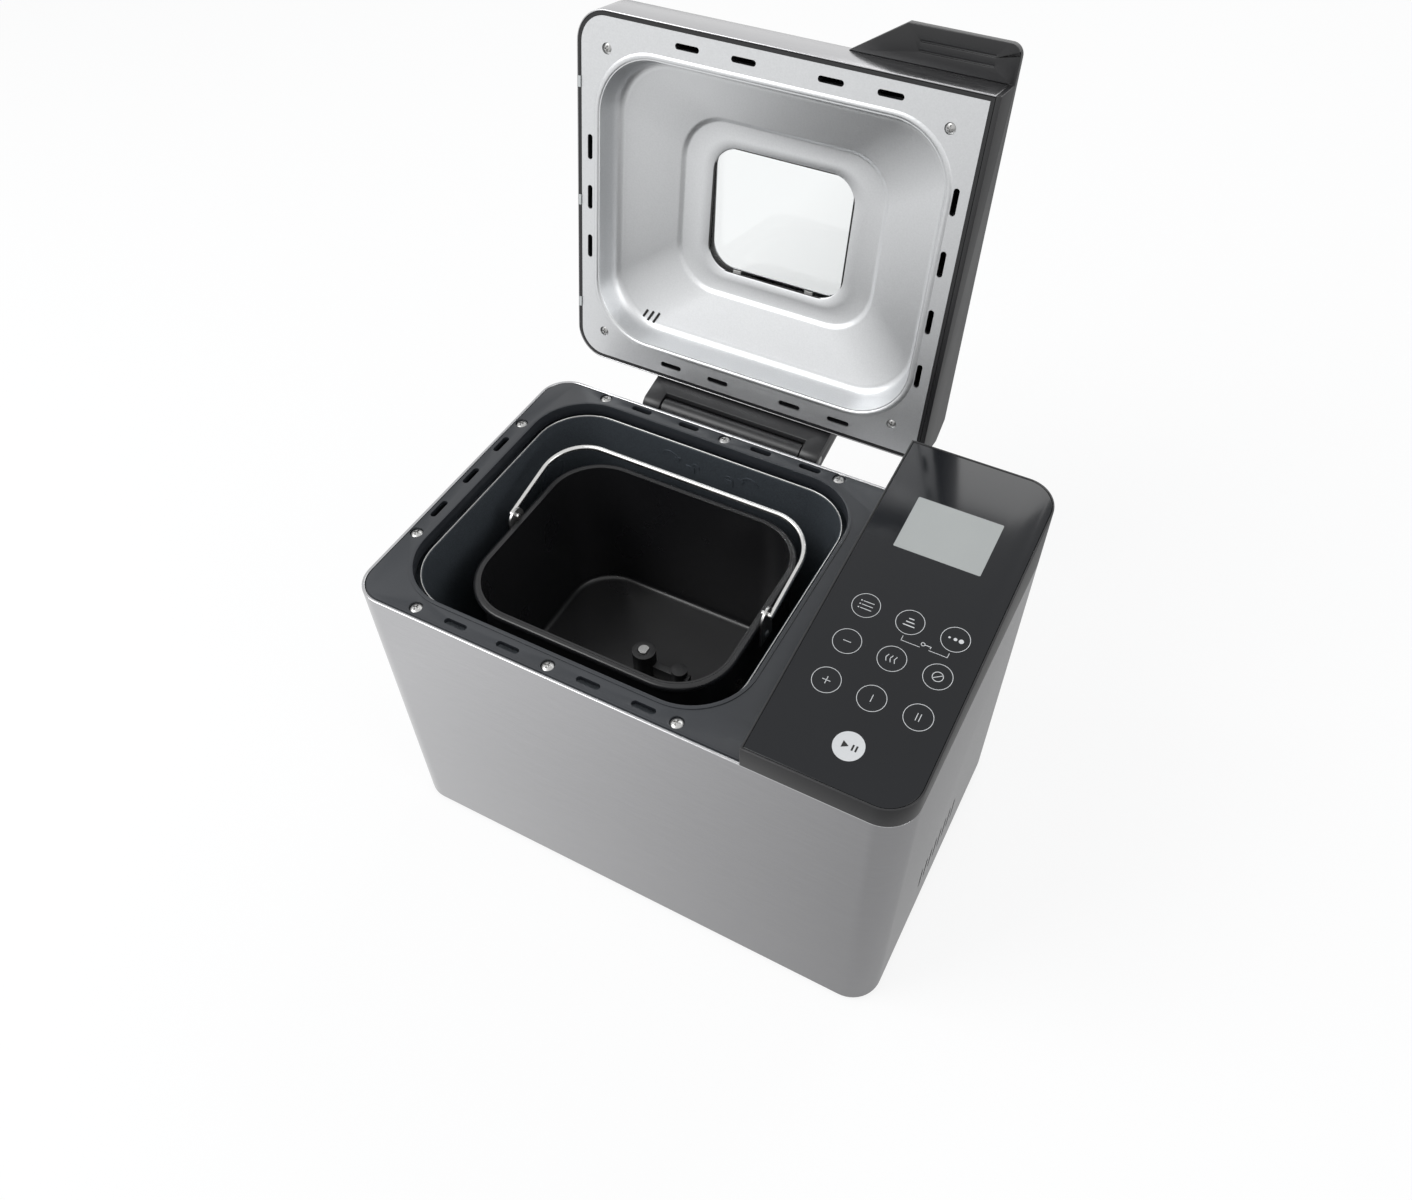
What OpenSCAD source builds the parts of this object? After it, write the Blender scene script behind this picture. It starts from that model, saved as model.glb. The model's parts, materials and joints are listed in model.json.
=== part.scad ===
// Bread machine with a brushed steel body, a hinged lid with a window, a sloping
// control panel and a lift-out pan with a kneading paddle. It is drawn with its lid open.
// +X runs right along the long front, +Y runs back, +Z up, and z = 0 is the worktop.

/* [Body] */
// Length of the body along its front
body_w = 385; // [360:1:480]
// Depth of the body, front to back
body_d = 247; // [230:1:310]
// Height of the steel rim above the worktop
body_h = 240; // [215:1:300]
// Radius of the body's four upright corners
corner_r = 22; // [14:1:26]
// Thickness of the steel wrap
wrap_t = 0.8; // [0.6:0.1:1.2]
// Width of the rim that the wrap turns in at its top
rim_w = 2.2; // [1.8:0.1:2.6]
// Height of the rubber feet
foot_h = 3; // [2:0.5:6]
// Radius of a rubber foot
foot_r = 12; // [9:0.5:14]

/* [Deck and oven] */
// Gap between the steel rim and the deck
deck_gap = 0.8; // [0.4:0.1:1.2]
// Thickness of the deck plate
deck_t = 3.5; // [3:0.1:4.5]
// Deck left of the oven mouth
deck_left = 17; // [16:0.5:22]
// Deck right of the oven mouth, up to the control panel
deck_right = 20.5; // [16:0.5:26]
// Deck in front of the oven mouth
deck_front = 18.5; // [17:0.5:24]
// Deck behind the oven mouth
deck_rear = 15; // [14.5:0.5:22]
// Radius of the oven mouth's corners
mouth_r = 42; // [30:1:48]
// Gap between the oven mouth and the chamber
mouth_gap = 3.5; // [2.5:0.1:5]
// Thickness of the oven chamber's sheet
chamber_t = 1; // [0.8:0.1:1.5]
// Height of the chamber's floor above the worktop
chamber_z = 70; // [68:1:90]
// Radius of a deck screw's head
screw_head_r = 4.1; // [3.5:0.1:4.5]

/* [Pan] */
// Gap between the pan's rim and the oven mouth
pan_gap = 24.5; // [18:0.5:28]
// Distance of the pan's rim below the steel rim
pan_drop = 28; // [24:0.5:40]
// Overhang of the pan's rolled rim
pan_rim = 4; // [3:0.5:5]
// Thickness of the pan's wall
pan_t = 1.4; // [1:0.1:2.5]
// Radius of the bail's wire
bail_r = 1.9; // [1.5:0.1:2.5]
// Reach of the bail from its ears to its grip
bail_reach = 75; // [60:1:80]
// Angle of the resting bail above the pan's rim
bail_lean = 11; // [9:1:20]
// Length of the paddle's blade from its shaft
paddle_reach = 38; // [25:1:45]
// Radius of the shaft that turns the paddle
shaft_r = 4; // [3:0.1:5]

/* [Control panel] */
// Width of the control panel
panel_w = 101.5; // [95:0.5:120]
// Height of the panel above the steel rim at the front
panel_front = 17; // [15:0.5:24]
// Height of the panel above the steel rim at the rear
panel_rear = 49; // [40:0.5:56]
// Thickness of the panel's glass
glass_t = 1.8; // [1.5:0.1:2.2]
// Width of the display's window
display_w = 56; // [40:1:60]
// Depth of the display's window
display_d = 42; // [30:1:48]

/* [Lid] */
// Thickness of the lid at its front
lid_front = 31; // [28:0.5:36]
// Thickness of the lid at its rear
lid_rear = 47; // [44:0.5:54]
// Angle that the lid opens to, from closed
lid_open = 99.8; // [60:0.1:104]
// Depth of the liner's upright recess wall
recess_wall = 20; // [12:0.5:21]
// Width of the lid's window
window_w = 106; // [70:1:112]
// Depth of the lid's window
window_d = 90; // [60:1:95]
// Thickness of each window glass
pane_t = 3; // [2:0.1:3.5]
// Reach of the handle in front of the lid
handle_reach = 22; // [18:0.5:28]
// Thickness of the handle's plate
handle_t = 6; // [4:0.5:7]
// Distance of the hinge's axis behind the body
hinge_back = 15.8; // [14:0.1:20]
// Distance of the hinge's axis below the steel rim
hinge_drop = 11.3; // [9.5:0.1:13]
// Radius of the hinge's pins
pin_r = 3; // [2:0.1:3.5]

/* [Drive] */
// Radius of the driven pulley
pulley_r = 66; // [55:1:70]
// Radius of the motor's pulley
pinion_r = 11; // [8:0.5:16]
// Radius of the motor
motor_r = 40; // [30:1:42]
// Height of the motor
motor_h = 60; // [45:1:64]

/* [Hidden] */
$fn = 64;

big = 1000;
skin = 0.01;
// Radial clearance of a turning fit, and the gap between parts that move past each other
run_fit = 0.05;
move_gap = 0.4;

// Steel body and deck
left_x = -body_w / 2;
front_y = -body_d / 2;
rear_y = body_d / 2;
inner = wrap_t + 0.2;
deck_inset = rim_w + deck_gap;
deck_under = body_h - deck_t;
panel_left = body_w / 2 - panel_w;
panel_x = body_w / 2 - panel_w / 2;
base_t = 2.5;
base_top = foot_h + base_t;

// Oven mouth, chamber and pan share one centre
mouth_w = panel_left - deck_right - left_x - deck_left;
mouth_d = body_d - deck_front - deck_rear;
oven_x = left_x + deck_left + mouth_w / 2;
oven_y = front_y + deck_front + mouth_d / 2;
chamber_w = mouth_w - 2 * mouth_gap;
chamber_d = mouth_d - 2 * mouth_gap;
chamber_r = mouth_r - mouth_gap;
chamber_top = body_h - 8;
flange_z = body_h - 16;
flange_w = 17;
pan_w = mouth_w - 2 * pan_gap;
pan_d = mouth_d - 2 * pan_gap;
pan_r = mouth_r;
pan_top = body_h - pan_drop;
pan_floor = chamber_z + 20;
pan_wall_w = pan_w - 2 * pan_rim;
pan_wall_d = pan_d - 2 * pan_rim;
rim_h = 5;

// Deck screws and slots lie on the middle of the deck's border
border = 9.3;
screw_x = [oven_x - 92, oven_x + 8, oven_x + 98];
screw_y = [-61, 64];
slot_x = [oven_x - 61, oven_x - 21.5, oven_x + 37, oven_x + 75.5];
slot_y = [-36, 1, 38];
head_sink = 2.4;
bead_h = 0.8;
slot_len = 16.5;
slot_w = 4.6;

// Drive levels, from the base upward
belt_z = 27;
belt_h = 10;
plate_z = 46;
plate_t = 2.5;
housing_r = 15;
socket_r = 46;
ring_r = 41;
coupler_z = chamber_z + 5;
coupler_r = 15;
dog_h = 8;
motor_x = panel_x;
motor_y = oven_y;
belt_gap = 0.4;
belt_t = 3;

// The control panel's top slopes up to the rear
panel_slope = atan((panel_rear - panel_front) / body_d);
board_drop = 11;
key_pitch = 28;
keys_x = 2.5;
keys_y = -36;
display_x = -0.7;
display_y = 62;

// The lid is drawn closed and is then turned open about the hinge
lid_gap = 1.6;
lid_z = body_h + lid_gap;
lid_right = panel_left - 0.8;
lid_slope = atan((lid_rear - lid_front) / body_d);
lid_x = oven_x;
window_x = lid_x + 4.6;
window_y = -4.5;
cover_t = 1;
side_t = 3.2;
outer_pane_t = 2.5;
lid_chamfer = 13;
liner_t = 1;
frame_h = 12;
recess_y = 23;
recess_w = mouth_w;
recess_d = body_d - 2 * recess_y;
recess_r = 42;
pane_z = 31;
ring_w = window_w + 42;
ring_d = window_d + 30;
liner_screw_x = [lid_x - 117, lid_x + 117];
liner_screw_y = [-100.5, 100.5];
lid_slot = 17;
handle_left = 104;
handle_slant = 35;
hinge_y = rear_y + hinge_back;
hinge_z = body_h - hinge_drop;
arm_w = 14;
arm_x = [oven_x - 63, oven_x + 67];
arm_r = 8;

// The origin is the middle of the standing machine's floor area, lid open
handle_tip_y = front_y - handle_reach - hinge_y;
handle_tip_z = lid_z + lid_front - handle_reach * tan(lid_slope) - hinge_z;
open_rear = hinge_y + handle_tip_y * cos(lid_open) + handle_tip_z * sin(lid_open);
mid_y = (front_y + open_rear) / 2;

// ---------- placing ----------

module stand() {
    translate([0, -mid_y, 0]) children();
}

module at_oven(z) {
    translate([oven_x, oven_y, z]) children();
}

module at_motor(z) {
    translate([motor_x, motor_y, z]) children();
}

// Turns what is drawn on the closed lid to the open lid
module on_lid() {
    stand() translate([0, hinge_y, hinge_z]) rotate([-lid_open, 0, 0])
        translate([0, -hinge_y, -hinge_z]) children();
}

// Local plane of the control panel's top: x right, y up the slope, z out of the panel
module on_panel(drop) {
    translate([panel_x, 0, body_h + (panel_front + panel_rear) / 2]) rotate([panel_slope, 0, 0])
        translate([0, 0, -drop]) children();
}

// ---------- shared shapes ----------

module rounded(w, d, r) {
    square([w - 2 * r, d], center = true);
    square([w, d - 2 * r], center = true);
    for (x = [-1, 1], y = [-1, 1]) translate([x * (w / 2 - r), y * (d / 2 - r)]) circle(r);
}

module block(w, d, h, r) {
    linear_extrude(h) rounded(w, d, r);
}

// Upright wall of thickness t whose outside is w by d
module ring_wall(w, d, h, r, t) {
    linear_extrude(h) difference() {
        rounded(w, d, r);
        rounded(w - 2 * t, d - 2 * t, r - t);
    }
}

module body_outline(inset) {
    rounded(body_w - 2 * inset, body_d - 2 * inset, corner_r - inset);
}

// The body's outline, right of a line at from_x
module outline_right_of(from_x, inset) {
    intersection() {
        body_outline(inset);
        translate([from_x, -big / 2]) square([big, big]);
    }
}

// The body's outline, left of a line at to_x
module outline_left_of(to_x, inset) {
    intersection() {
        body_outline(inset);
        translate([to_x - big, -big / 2]) square([big, big]);
    }
}

// Everything below the plane that is front_h high at the front and rises to the rear
module below_slope(base, front_h, slope) {
    translate([0, front_y, base + front_h]) rotate([slope, 0, 0])
        translate([-big / 2, -big / 2, -big]) cube(big);
}

module slot(len, w, h) {
    linear_extrude(h) {
        square([len - w, w], center = true);
        for (s = [-1, 1]) translate([s * (len - w) / 2, 0]) circle(w / 2);
    }
}

// Pan-head screw with a cross recess, its head's underside at z = 0
module screw(head_r, shank_r, len) {
    difference() {
        union() {
            intersection() {
                cylinder(r = head_r, h = head_r * 0.55);
                translate([0, 0, -head_r * 1.2]) sphere(head_r * 1.75);
            }
            translate([0, 0, -len]) cylinder(r = shank_r, h = len + skin);
        }
        for (a = [0, 90]) rotate(a) translate([0, 0, head_r * 0.4])
            cube([head_r * 1.15, head_r * 0.28, head_r * 0.5], center = true);
    }
}

// ---------- body ----------

module steel_wrap() {
    color("silver") stand() difference() {
        union() {
            translate([0, 0, foot_h]) linear_extrude(body_h - foot_h) difference() {
                body_outline(0);
                body_outline(wrap_t);
            }
            translate([0, 0, body_h - 1]) linear_extrude(1) difference() {
                body_outline(0);
                body_outline(rim_w);
            }
        }
        for (k = [0:7]) translate([0, -40 + 9 * k, 52]) rotate([90, 0, 90])
            translate([0, 0, body_w / 2 - 3]) rotate(90) slot(26, 3, 6);
        for (k = [0:11]) translate([motor_x - 30 + 6 * k, rear_y + 3, 120]) rotate([90, 0, 0])
            rotate(90) slot(30, 3, 6);
        translate([gland_x, rear_y + 3, gland_z]) rotate([90, 0, 0]) cylinder(r = gland_r + 0.1, h = 6);
        for (x = hinge_screw_x, z = hinge_screw_z) translate([x, rear_y + 3, z]) rotate([90, 0, 0])
            cylinder(r = 2.1, h = 6);
    }
}

foot_pos = [for (x = [-1, 1], y = [-1, 1]) [x * (body_w / 2 - 30), y * (body_d / 2 - 28)]];
base_screw_pos = [for (x = [-1, 1], y = [-1, 1]) [x * (body_w / 2 - 52), y * (body_d / 2 - 14)]];
post_x = [oven_x - pulley_r - 12, oven_x + pulley_r + 16, motor_x + 42];
post_pos = [for (x = post_x, y = [-1, 1]) [x, oven_y + (pulley_r - 8) * y]];
post_r = 4.5;

module base_tray() {
    color([0.16, 0.17, 0.18]) stand() difference() {
        union() {
            translate([0, 0, foot_h]) linear_extrude(base_t) body_outline(inner);
            translate([0, 0, foot_h]) linear_extrude(14) difference() {
                body_outline(inner);
                body_outline(inner + 2);
            }
            for (p = base_screw_pos) translate([p[0], p[1], foot_h]) cylinder(r = 5, h = 14);
        }
        for (p = base_screw_pos) translate([p[0], p[1], foot_h - 1]) {
            cylinder(r = 1.7, h = 16);
            cylinder(r = 3.8, h = 4.4);
        }
        for (x = [-1:1], y = [-3:3]) translate([motor_x + 22 * x, motor_y + 9 * y, foot_h - 1])
            slot(17, 3, base_t + 2);
    }
}

module feet() {
    color([0.1, 0.1, 0.1]) stand() for (p = foot_pos) translate([p[0], p[1], 0])
        cylinder(r = foot_r, h = foot_h);
}

module base_screws() {
    color("gainsboro") stand() for (p = base_screw_pos) translate([p[0], p[1], foot_h + 3.4])
        rotate([180, 0, 0]) screw(3.2, 1.65, 10);
}

deck_screw_pos = concat(
    [for (x = screw_x) [x, front_y + border]],
    [for (x = screw_x) [x, rear_y - border + 2.5]],
    [for (y = screw_y) [left_x + 7.6, y]]
);
board_post = [for (x = [-1, 1], y = [-1, 1]) [panel_x + 37 * x, 82 * y]];
board_z = 190;
board_t = 1.6;
board_under = board_z - board_t;

module deck_frame() {
    color([0.20, 0.21, 0.24]) stand() difference() {
        union() {
            translate([0, 0, body_h - 1.2]) linear_extrude(1.2) body_outline(deck_inset);
            translate([0, 0, deck_under]) linear_extrude(deck_t - 1) body_outline(inner);
            translate([0, 0, body_h - 12]) linear_extrude(9) difference() {
                body_outline(inner);
                body_outline(inner + 2);
            }
            at_oven(body_h - 9) ring_wall(mouth_w + 3, mouth_d + 3, 9, mouth_r + 1.5, 1.5);
            at_oven(body_h - 1) ring_wall(mouth_w + 5, mouth_d + 5, 1 + bead_h, mouth_r + 2.5, 2.5);
            for (p = deck_screw_pos) translate([p[0], p[1], flange_z]) cylinder(r = 3.4, h = 13);
            for (p = board_post) translate([p[0], p[1], board_z]) cylinder(r = 4, h = deck_under - board_z + 1);
        }
        at_oven(body_h - 30) block(mouth_w, mouth_d, 60, mouth_r);
        translate([panel_x - 3, 0, body_h - 10]) block(64, body_d - 70, 20, 6);
        for (p = deck_screw_pos) translate([p[0], p[1], flange_z - 1]) {
            cylinder(r = 1.9, h = 30);
            translate([0, 0, body_h - flange_z + 1 - head_sink]) cylinder(r = screw_head_r + 0.5, h = 9);
        }
        for (p = board_post) translate([p[0], p[1], board_z - 1]) cylinder(r = 1.6, h = 12);
        for (x = slot_x) {
            translate([x, front_y + border, deck_under - 1]) slot(slot_len, slot_w, 9);
            translate([x, rear_y - border + 2.5, deck_under - 1]) slot(slot_len, slot_w, 9);
        }
        for (y = slot_y) translate([left_x + 7.6, y, deck_under - 1]) rotate(90) slot(slot_len, slot_w, 9);
    }
}

module deck_screws() {
    color("gainsboro") stand() for (p = deck_screw_pos) translate([p[0], p[1], body_h - head_sink])
        screw(screw_head_r, 1.8, body_h - head_sink - flange_z + 2);
}

// ---------- oven ----------

// Raised padlock and turn-arrow marks on the chamber's rear wall
icon_y = oven_y + chamber_d / 2 - chamber_t;
icon_z = body_h - 22;

module padlock(open) {
    translate([-3.5, -6]) square([7, 5.5]);
    translate([open ? 4.5 : 0, 0]) difference() {
        circle(3.2);
        circle(2.2);
        translate([-4, -8]) square([8, 7.5]);
    }
}

module turn_arrow(dir) {
    mirror([dir > 0 ? 0 : 1, 0]) {
        difference() {
            circle(8);
            circle(6.8);
            translate([-9, -16]) square([18, 19]);
        }
        polygon([[4.2, 3.4], [9.4, 4.4], [6.8, -0.6]]);
    }
}

module chamber_marks() {
    for (s = [-1, 1]) translate([oven_x + 2 + 24 * s, icon_y + 0.2, icon_z]) rotate([90, 0, 0])
        linear_extrude(0.7) {
            translate([-8 * s, -3]) padlock(s < 0);
            translate([9 * s, -3]) turn_arrow(-s);
        }
}

module chamber_sheet() {
    difference() {
        union() {
            at_oven(chamber_z) block(chamber_w, chamber_d, chamber_top - chamber_z, chamber_r);
            at_oven(flange_z - 1) intersection() {
                block(chamber_w + 2 * flange_w, chamber_d + 2 * flange_w, 1, chamber_r + flange_w);
                translate([-oven_x, -oven_y, 0]) linear_extrude(1) body_outline(inner + 2.5);
            }
        }
        at_oven(chamber_z + chamber_t)
            block(chamber_w - 2 * chamber_t, chamber_d - 2 * chamber_t, body_h, chamber_r - chamber_t);
        at_oven(chamber_z - 1) cylinder(r = shaft_r + 3, h = 5);
        for (p = deck_screw_pos) translate([p[0], p[1], flange_z - 3]) cylinder(r = 1.9, h = 4);
        for (s = [-1, 1]) translate([oven_x + chamber_w / 2 - 4, oven_y + 24 * s, element_z])
            rotate([0, 90, 0]) cylinder(r = bush_r + 0.05, h = 8);
        translate([oven_x + chamber_w / 2 - 4, probe_y, probe_z]) rotate([0, 90, 0])
            cylinder(r = 4.05, h = 8);
    }
}

module oven_chamber() {
    color([0.23, 0.25, 0.28]) stand() {
        chamber_marks();
        chamber_sheet();
    }
}

element_z = chamber_z + 13;
element_r = 3.3;
element_in = 15;
element_w = chamber_w - 2 * element_in;
element_d = chamber_d - 2 * element_in;
bend_r = 40;
bush_r = 6;
probe_y = oven_y - 62;
probe_z = chamber_z + 60;

// Tubular element: a loop round the pan's foot with two tails out to the right
module heating_element() {
    color([0.45, 0.42, 0.40]) stand() at_oven(element_z) {
        for (x = [-1, 1], y = [-1, 1])
            translate([x * (element_w / 2 - bend_r), y * (element_d / 2 - bend_r), 0])
                rotate(x > 0 ? (y > 0 ? 0 : 270) : (y > 0 ? 90 : 180))
                    rotate_extrude(angle = 90) translate([bend_r, 0]) circle(element_r);
        for (y = [-1, 1]) translate([-element_w / 2 + bend_r, y * element_d / 2, 0]) rotate([0, 90, 0])
            cylinder(r = element_r, h = element_w - 2 * bend_r);
        translate([-element_w / 2, -element_d / 2 + bend_r, 0]) rotate([-90, 0, 0])
            cylinder(r = element_r, h = element_d - 2 * bend_r);
        for (s = [-1, 1]) {
            translate([element_w / 2, s > 0 ? 24 : -element_d / 2 + bend_r, 0]) rotate([-90, 0, 0])
                cylinder(r = element_r, h = element_d / 2 - bend_r - 24);
            translate([element_w / 2, 24 * s, 0]) sphere(element_r);
            translate([element_w / 2, 24 * s, 0]) rotate([0, 90, 0])
                cylinder(r = element_r, h = element_in + 14);
        }
    }
}

module element_clips() {
    color("silver") stand() for (s = [-1, 1]) translate([oven_x, oven_y + s * element_d / 2, 0])
        difference() {
            translate([-5, -6, chamber_z + chamber_t]) cube([10, 12, element_z - chamber_z - chamber_t - 1]);
            translate([-6, 0, element_z]) rotate([0, 90, 0]) cylinder(r = element_r + 0.02, h = 12);
        }
}

module element_bushes() {
    color("ivory") stand() for (s = [-1, 1]) translate([oven_x + chamber_w / 2 - 3.2, oven_y + 24 * s, element_z])
        rotate([0, 90, 0]) difference() {
            union() {
                cylinder(r = bush_r, h = 12);
                translate([0, 0, 3.2]) cylinder(r = bush_r + 2.5, h = 3);
            }
            translate([0, 0, -1]) cylinder(r = element_r + 0.02, h = 20);
        }
}

module temperature_probe() {
    color("silver") stand() translate([oven_x + chamber_w / 2 - 9, probe_y, probe_z]) rotate([0, 90, 0]) {
        translate([0, 0, 2]) cylinder(r = 3, h = 14);
        translate([0, 0, 2]) sphere(3);
        translate([0, 0, 9]) cylinder(r = 4, h = 6);
        translate([0, 0, 9]) cylinder(r = 7, h = 2 - 0.5 + skin);
    }
}

// ---------- drive ----------

module pan_socket() {
    color("gainsboro") stand() at_oven(chamber_z + chamber_t) difference() {
        union() {
            cylinder(r = socket_r + 6, h = 1.2);
            cylinder(r = socket_r, h = 15);
        }
        translate([0, 0, 1.2]) cylinder(r = socket_r - 1.5, h = 20);
        translate([0, 0, -1]) cylinder(r = coupler_r + 2, h = 20);
        for (a = [30:120:270]) rotate(a) translate([socket_r - 3, 0, 7]) cube([8, 14, 6], center = true);
    }
}

module drive_plate() {
    color("silver") stand() difference() {
        translate([0, oven_y, plate_z]) linear_extrude(plate_t)
            translate([(post_x[0] + post_x[2]) / 2, 0]) rounded(post_x[2] - post_x[0] + 14, 2 * pulley_r, 8);
        at_oven(plate_z - 1) cylinder(r = housing_r + 0.05, h = 5);
        at_motor(plate_z - 1) {
            cylinder(r = 9, h = 5);
            for (a = [45:90:315]) rotate(a) translate([motor_r - 10, 0, 0]) cylinder(r = 2.1, h = 5);
        }
        for (p = post_pos) translate([p[0], p[1], plate_z - 1]) cylinder(r = 1.9, h = 5);
        for (a = [45:90:315]) at_oven(plate_z - 1) rotate(a) translate([housing_r + 7, 0, 0])
            cylinder(r = 1.9, h = 5);
        translate([(oven_x + motor_x) / 2 + 10, oven_y, plate_z - 1]) block(44, 60, 5, 8);
    }
}

module plate_posts() {
    color("dimgray") stand() for (p = post_pos) translate([p[0], p[1], base_top]) difference() {
        union() {
            cylinder(r = post_r, h = plate_z - base_top);
            translate([0, 0, plate_z - base_top - 1]) cylinder(r = 1.8, h = plate_t + 3);
        }
        translate([0, 0, -1]) cylinder(r = 1.5, h = 12);
    }
}

bush_fit = 0.02;

module bearing_housing() {
    color("gainsboro") stand() at_oven(0) difference() {
        union() {
            translate([0, 0, plate_z - 4]) cylinder(r = housing_r, h = chamber_z - plate_z + 4);
            translate([0, 0, plate_z + plate_t]) cylinder(r = housing_r + 12, h = 3);
        }
        translate([0, 0, plate_z - 5]) cylinder(r = 7 + bush_fit, h = 40);
        for (a = [45:90:315]) rotate(a) translate([housing_r + 7, 0, plate_z]) cylinder(r = 1.9, h = 9);
    }
}

module shaft_bushes() {
    color([0.72, 0.53, 0.25]) stand() for (z = [plate_z - 4, chamber_z - 10]) at_oven(z) difference() {
        cylinder(r = 7, h = 10);
        translate([0, 0, -1]) cylinder(r = shaft_r + run_fit, h = 12);
    }
}

module output_shaft() {
    color("silver") stand() at_oven(belt_z - 4) cylinder(r = shaft_r, h = coupler_z - belt_z + 4);
}

module shaft_clip() {
    color("gray") stand() at_oven(belt_z - 3) difference() {
        cylinder(r = shaft_r + 3, h = 1);
        translate([0, 0, -1]) cylinder(r = shaft_r, h = 3);
    }
}

module driven_pulley() {
    color([0.85, 0.85, 0.82]) stand() at_oven(belt_z) difference() {
        union() {
            cylinder(r = pulley_r, h = belt_h);
            cylinder(r = pulley_r + 2, h = 1);
            translate([0, 0, belt_h - 1]) cylinder(r = pulley_r + 2, h = 1);
            translate([0, 0, -2]) cylinder(r = 11, h = belt_h + 5);
        }
        translate([0, 0, -3]) cylinder(r = shaft_r, h = belt_h + 9);
        for (a = [0:60:300]) rotate(a) translate([37, 0, -1]) cylinder(r = 13, h = belt_h + 2);
    }
}

module drive_coupler() {
    color("silver") stand() at_oven(coupler_z) {
        difference() {
            union() {
                cylinder(r = coupler_r, h = 3);
                translate([0, 0, -3]) cylinder(r = 7, h = 4);
            }
            translate([0, 0, -4]) cylinder(r = shaft_r, h = 4);
        }
        for (a = [0, 180]) rotate(a) translate([0, 5, 2]) intersection() {
            translate([-coupler_r, 0, 0]) cube([coupler_r - 3, coupler_r, dog_h]);
            translate([0, -5, 0]) cylinder(r = coupler_r, h = dog_h);
        }
    }
}

module belt_line(grow) {
    hull() {
        translate([oven_x, oven_y]) circle(pulley_r + grow);
        translate([motor_x, motor_y]) circle(pinion_r + grow);
    }
}

module drive_belt() {
    color([0.12, 0.12, 0.12]) stand() translate([0, 0, belt_z + 1.4]) linear_extrude(belt_h - 2.8)
        difference() {
            belt_line(belt_gap + belt_t);
            belt_line(belt_gap);
        }
}

module motor_body() {
    color("gray") stand() at_motor(plate_z + plate_t) difference() {
        union() {
            cylinder(r = motor_r - 4, h = motor_h);
            translate([0, 0, 8]) cylinder(r = motor_r, h = motor_h - 20);
            cylinder(r = motor_r - 2, h = 4);
            translate([0, 0, motor_h]) cylinder(r = 10, h = 4);
        }
        translate([0, 0, -1]) cylinder(r = 3 + run_fit, h = motor_h - 5);
        for (a = [45:90:315]) rotate(a) translate([motor_r - 10, 0, -1]) cylinder(r = 1.8, h = 10);
        for (a = [0:30:330]) rotate(a) translate([24, 0, motor_h - 3]) cylinder(r = 3.5, h = 9);
    }
}

module motor_screws() {
    color("gainsboro") stand() at_motor(plate_z) for (a = [45:90:315]) rotate(a)
        translate([motor_r - 10, 0, 0]) rotate([180, 0, 0]) screw(3.4, 1.75, 9);
}

module motor_shaft() {
    color("silver") stand() at_motor(belt_z - 2) cylinder(r = 3, h = plate_z + plate_t + 46 - belt_z);
}

module motor_pulley() {
    color("dimgray") stand() at_motor(belt_z) difference() {
        union() {
            cylinder(r = pinion_r, h = belt_h + 4);
            cylinder(r = pinion_r + 2.5, h = 1);
            translate([0, 0, belt_h - 1]) cylinder(r = pinion_r + 2.5, h = 1);
        }
        translate([0, 0, -1]) cylinder(r = 3, h = belt_h + 6);
    }
}

// ---------- electrics ----------

module run_capacitor() {
    color([0.88, 0.88, 0.86]) stand() translate([motor_x, motor_y - motor_r - 26, base_top])
        block(46, 24, 34, 5);
}

module power_board() {
    color([0.16, 0.36, 0.20]) stand() difference() {
        translate([panel_x, 0, board_under]) block(88, 182, board_t, 4);
        for (p = board_post) translate([p[0], p[1], board_z - 4]) cylinder(r = 1.7, h = 8);
    }
}

module board_transformer() {
    color([0.75, 0.62, 0.25]) stand() translate([panel_x - 12, -40, board_under - 34]) block(42, 36, 34, 3);
}

module board_relays() {
    color([0.2, 0.3, 0.6]) stand() for (s = [-1, 1])
        translate([panel_x + 22 * s, 22, board_under - 16]) block(20, 28, 16, 2);
}

module board_cans() {
    color([0.25, 0.25, 0.3]) stand() for (k = [-1:1])
        translate([panel_x + 22 * k, 58, board_under - 20]) cylinder(r = 8, h = 20);
}

panel_lip = 1.3;
panel_boss = [for (x = [-1, 1], y = [-1, 1]) [38 * x, 96 * y]];

module panel_block(inset, drop) {
    intersection() {
        translate([0, 0, body_h]) linear_extrude(panel_rear + 20) outline_right_of(panel_left + inset, inset);
        below_slope(body_h, panel_front - drop, panel_slope);
    }
}

module panel_housing() {
    color([0.15, 0.16, 0.18]) stand() difference() {
        union() {
            difference() {
                panel_block(0, 0);
                translate([0, 0, -skin]) panel_block(2.2, glass_t + 2.4);
            }
            on_panel(glass_t + board_drop) for (p = panel_boss) translate([p[0], p[1], 0])
                cylinder(r = 3.5, h = board_drop - 1);
        }
        difference() {
            translate([0, 0, skin]) panel_block(panel_lip, -1);
            panel_block(0, glass_t);
        }
        on_panel(20) translate([display_x, display_y, 0]) linear_extrude(30) square([display_w, display_d], center = true);
        on_panel(20) translate([keys_x, keys_y, 0]) linear_extrude(30) square([key_pitch * 3, key_pitch * 4], center = true);
        on_panel(glass_t + board_drop + 1) for (p = panel_boss) translate([p[0], p[1], 0])
            cylinder(r = 1.3, h = board_drop - 2);
    }
}

module panel_glass() {
    color([0.10, 0.11, 0.12]) stand() difference() {
        panel_block(panel_lip + 0.15, 0);
        panel_block(0, glass_t);
    }
}

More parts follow.
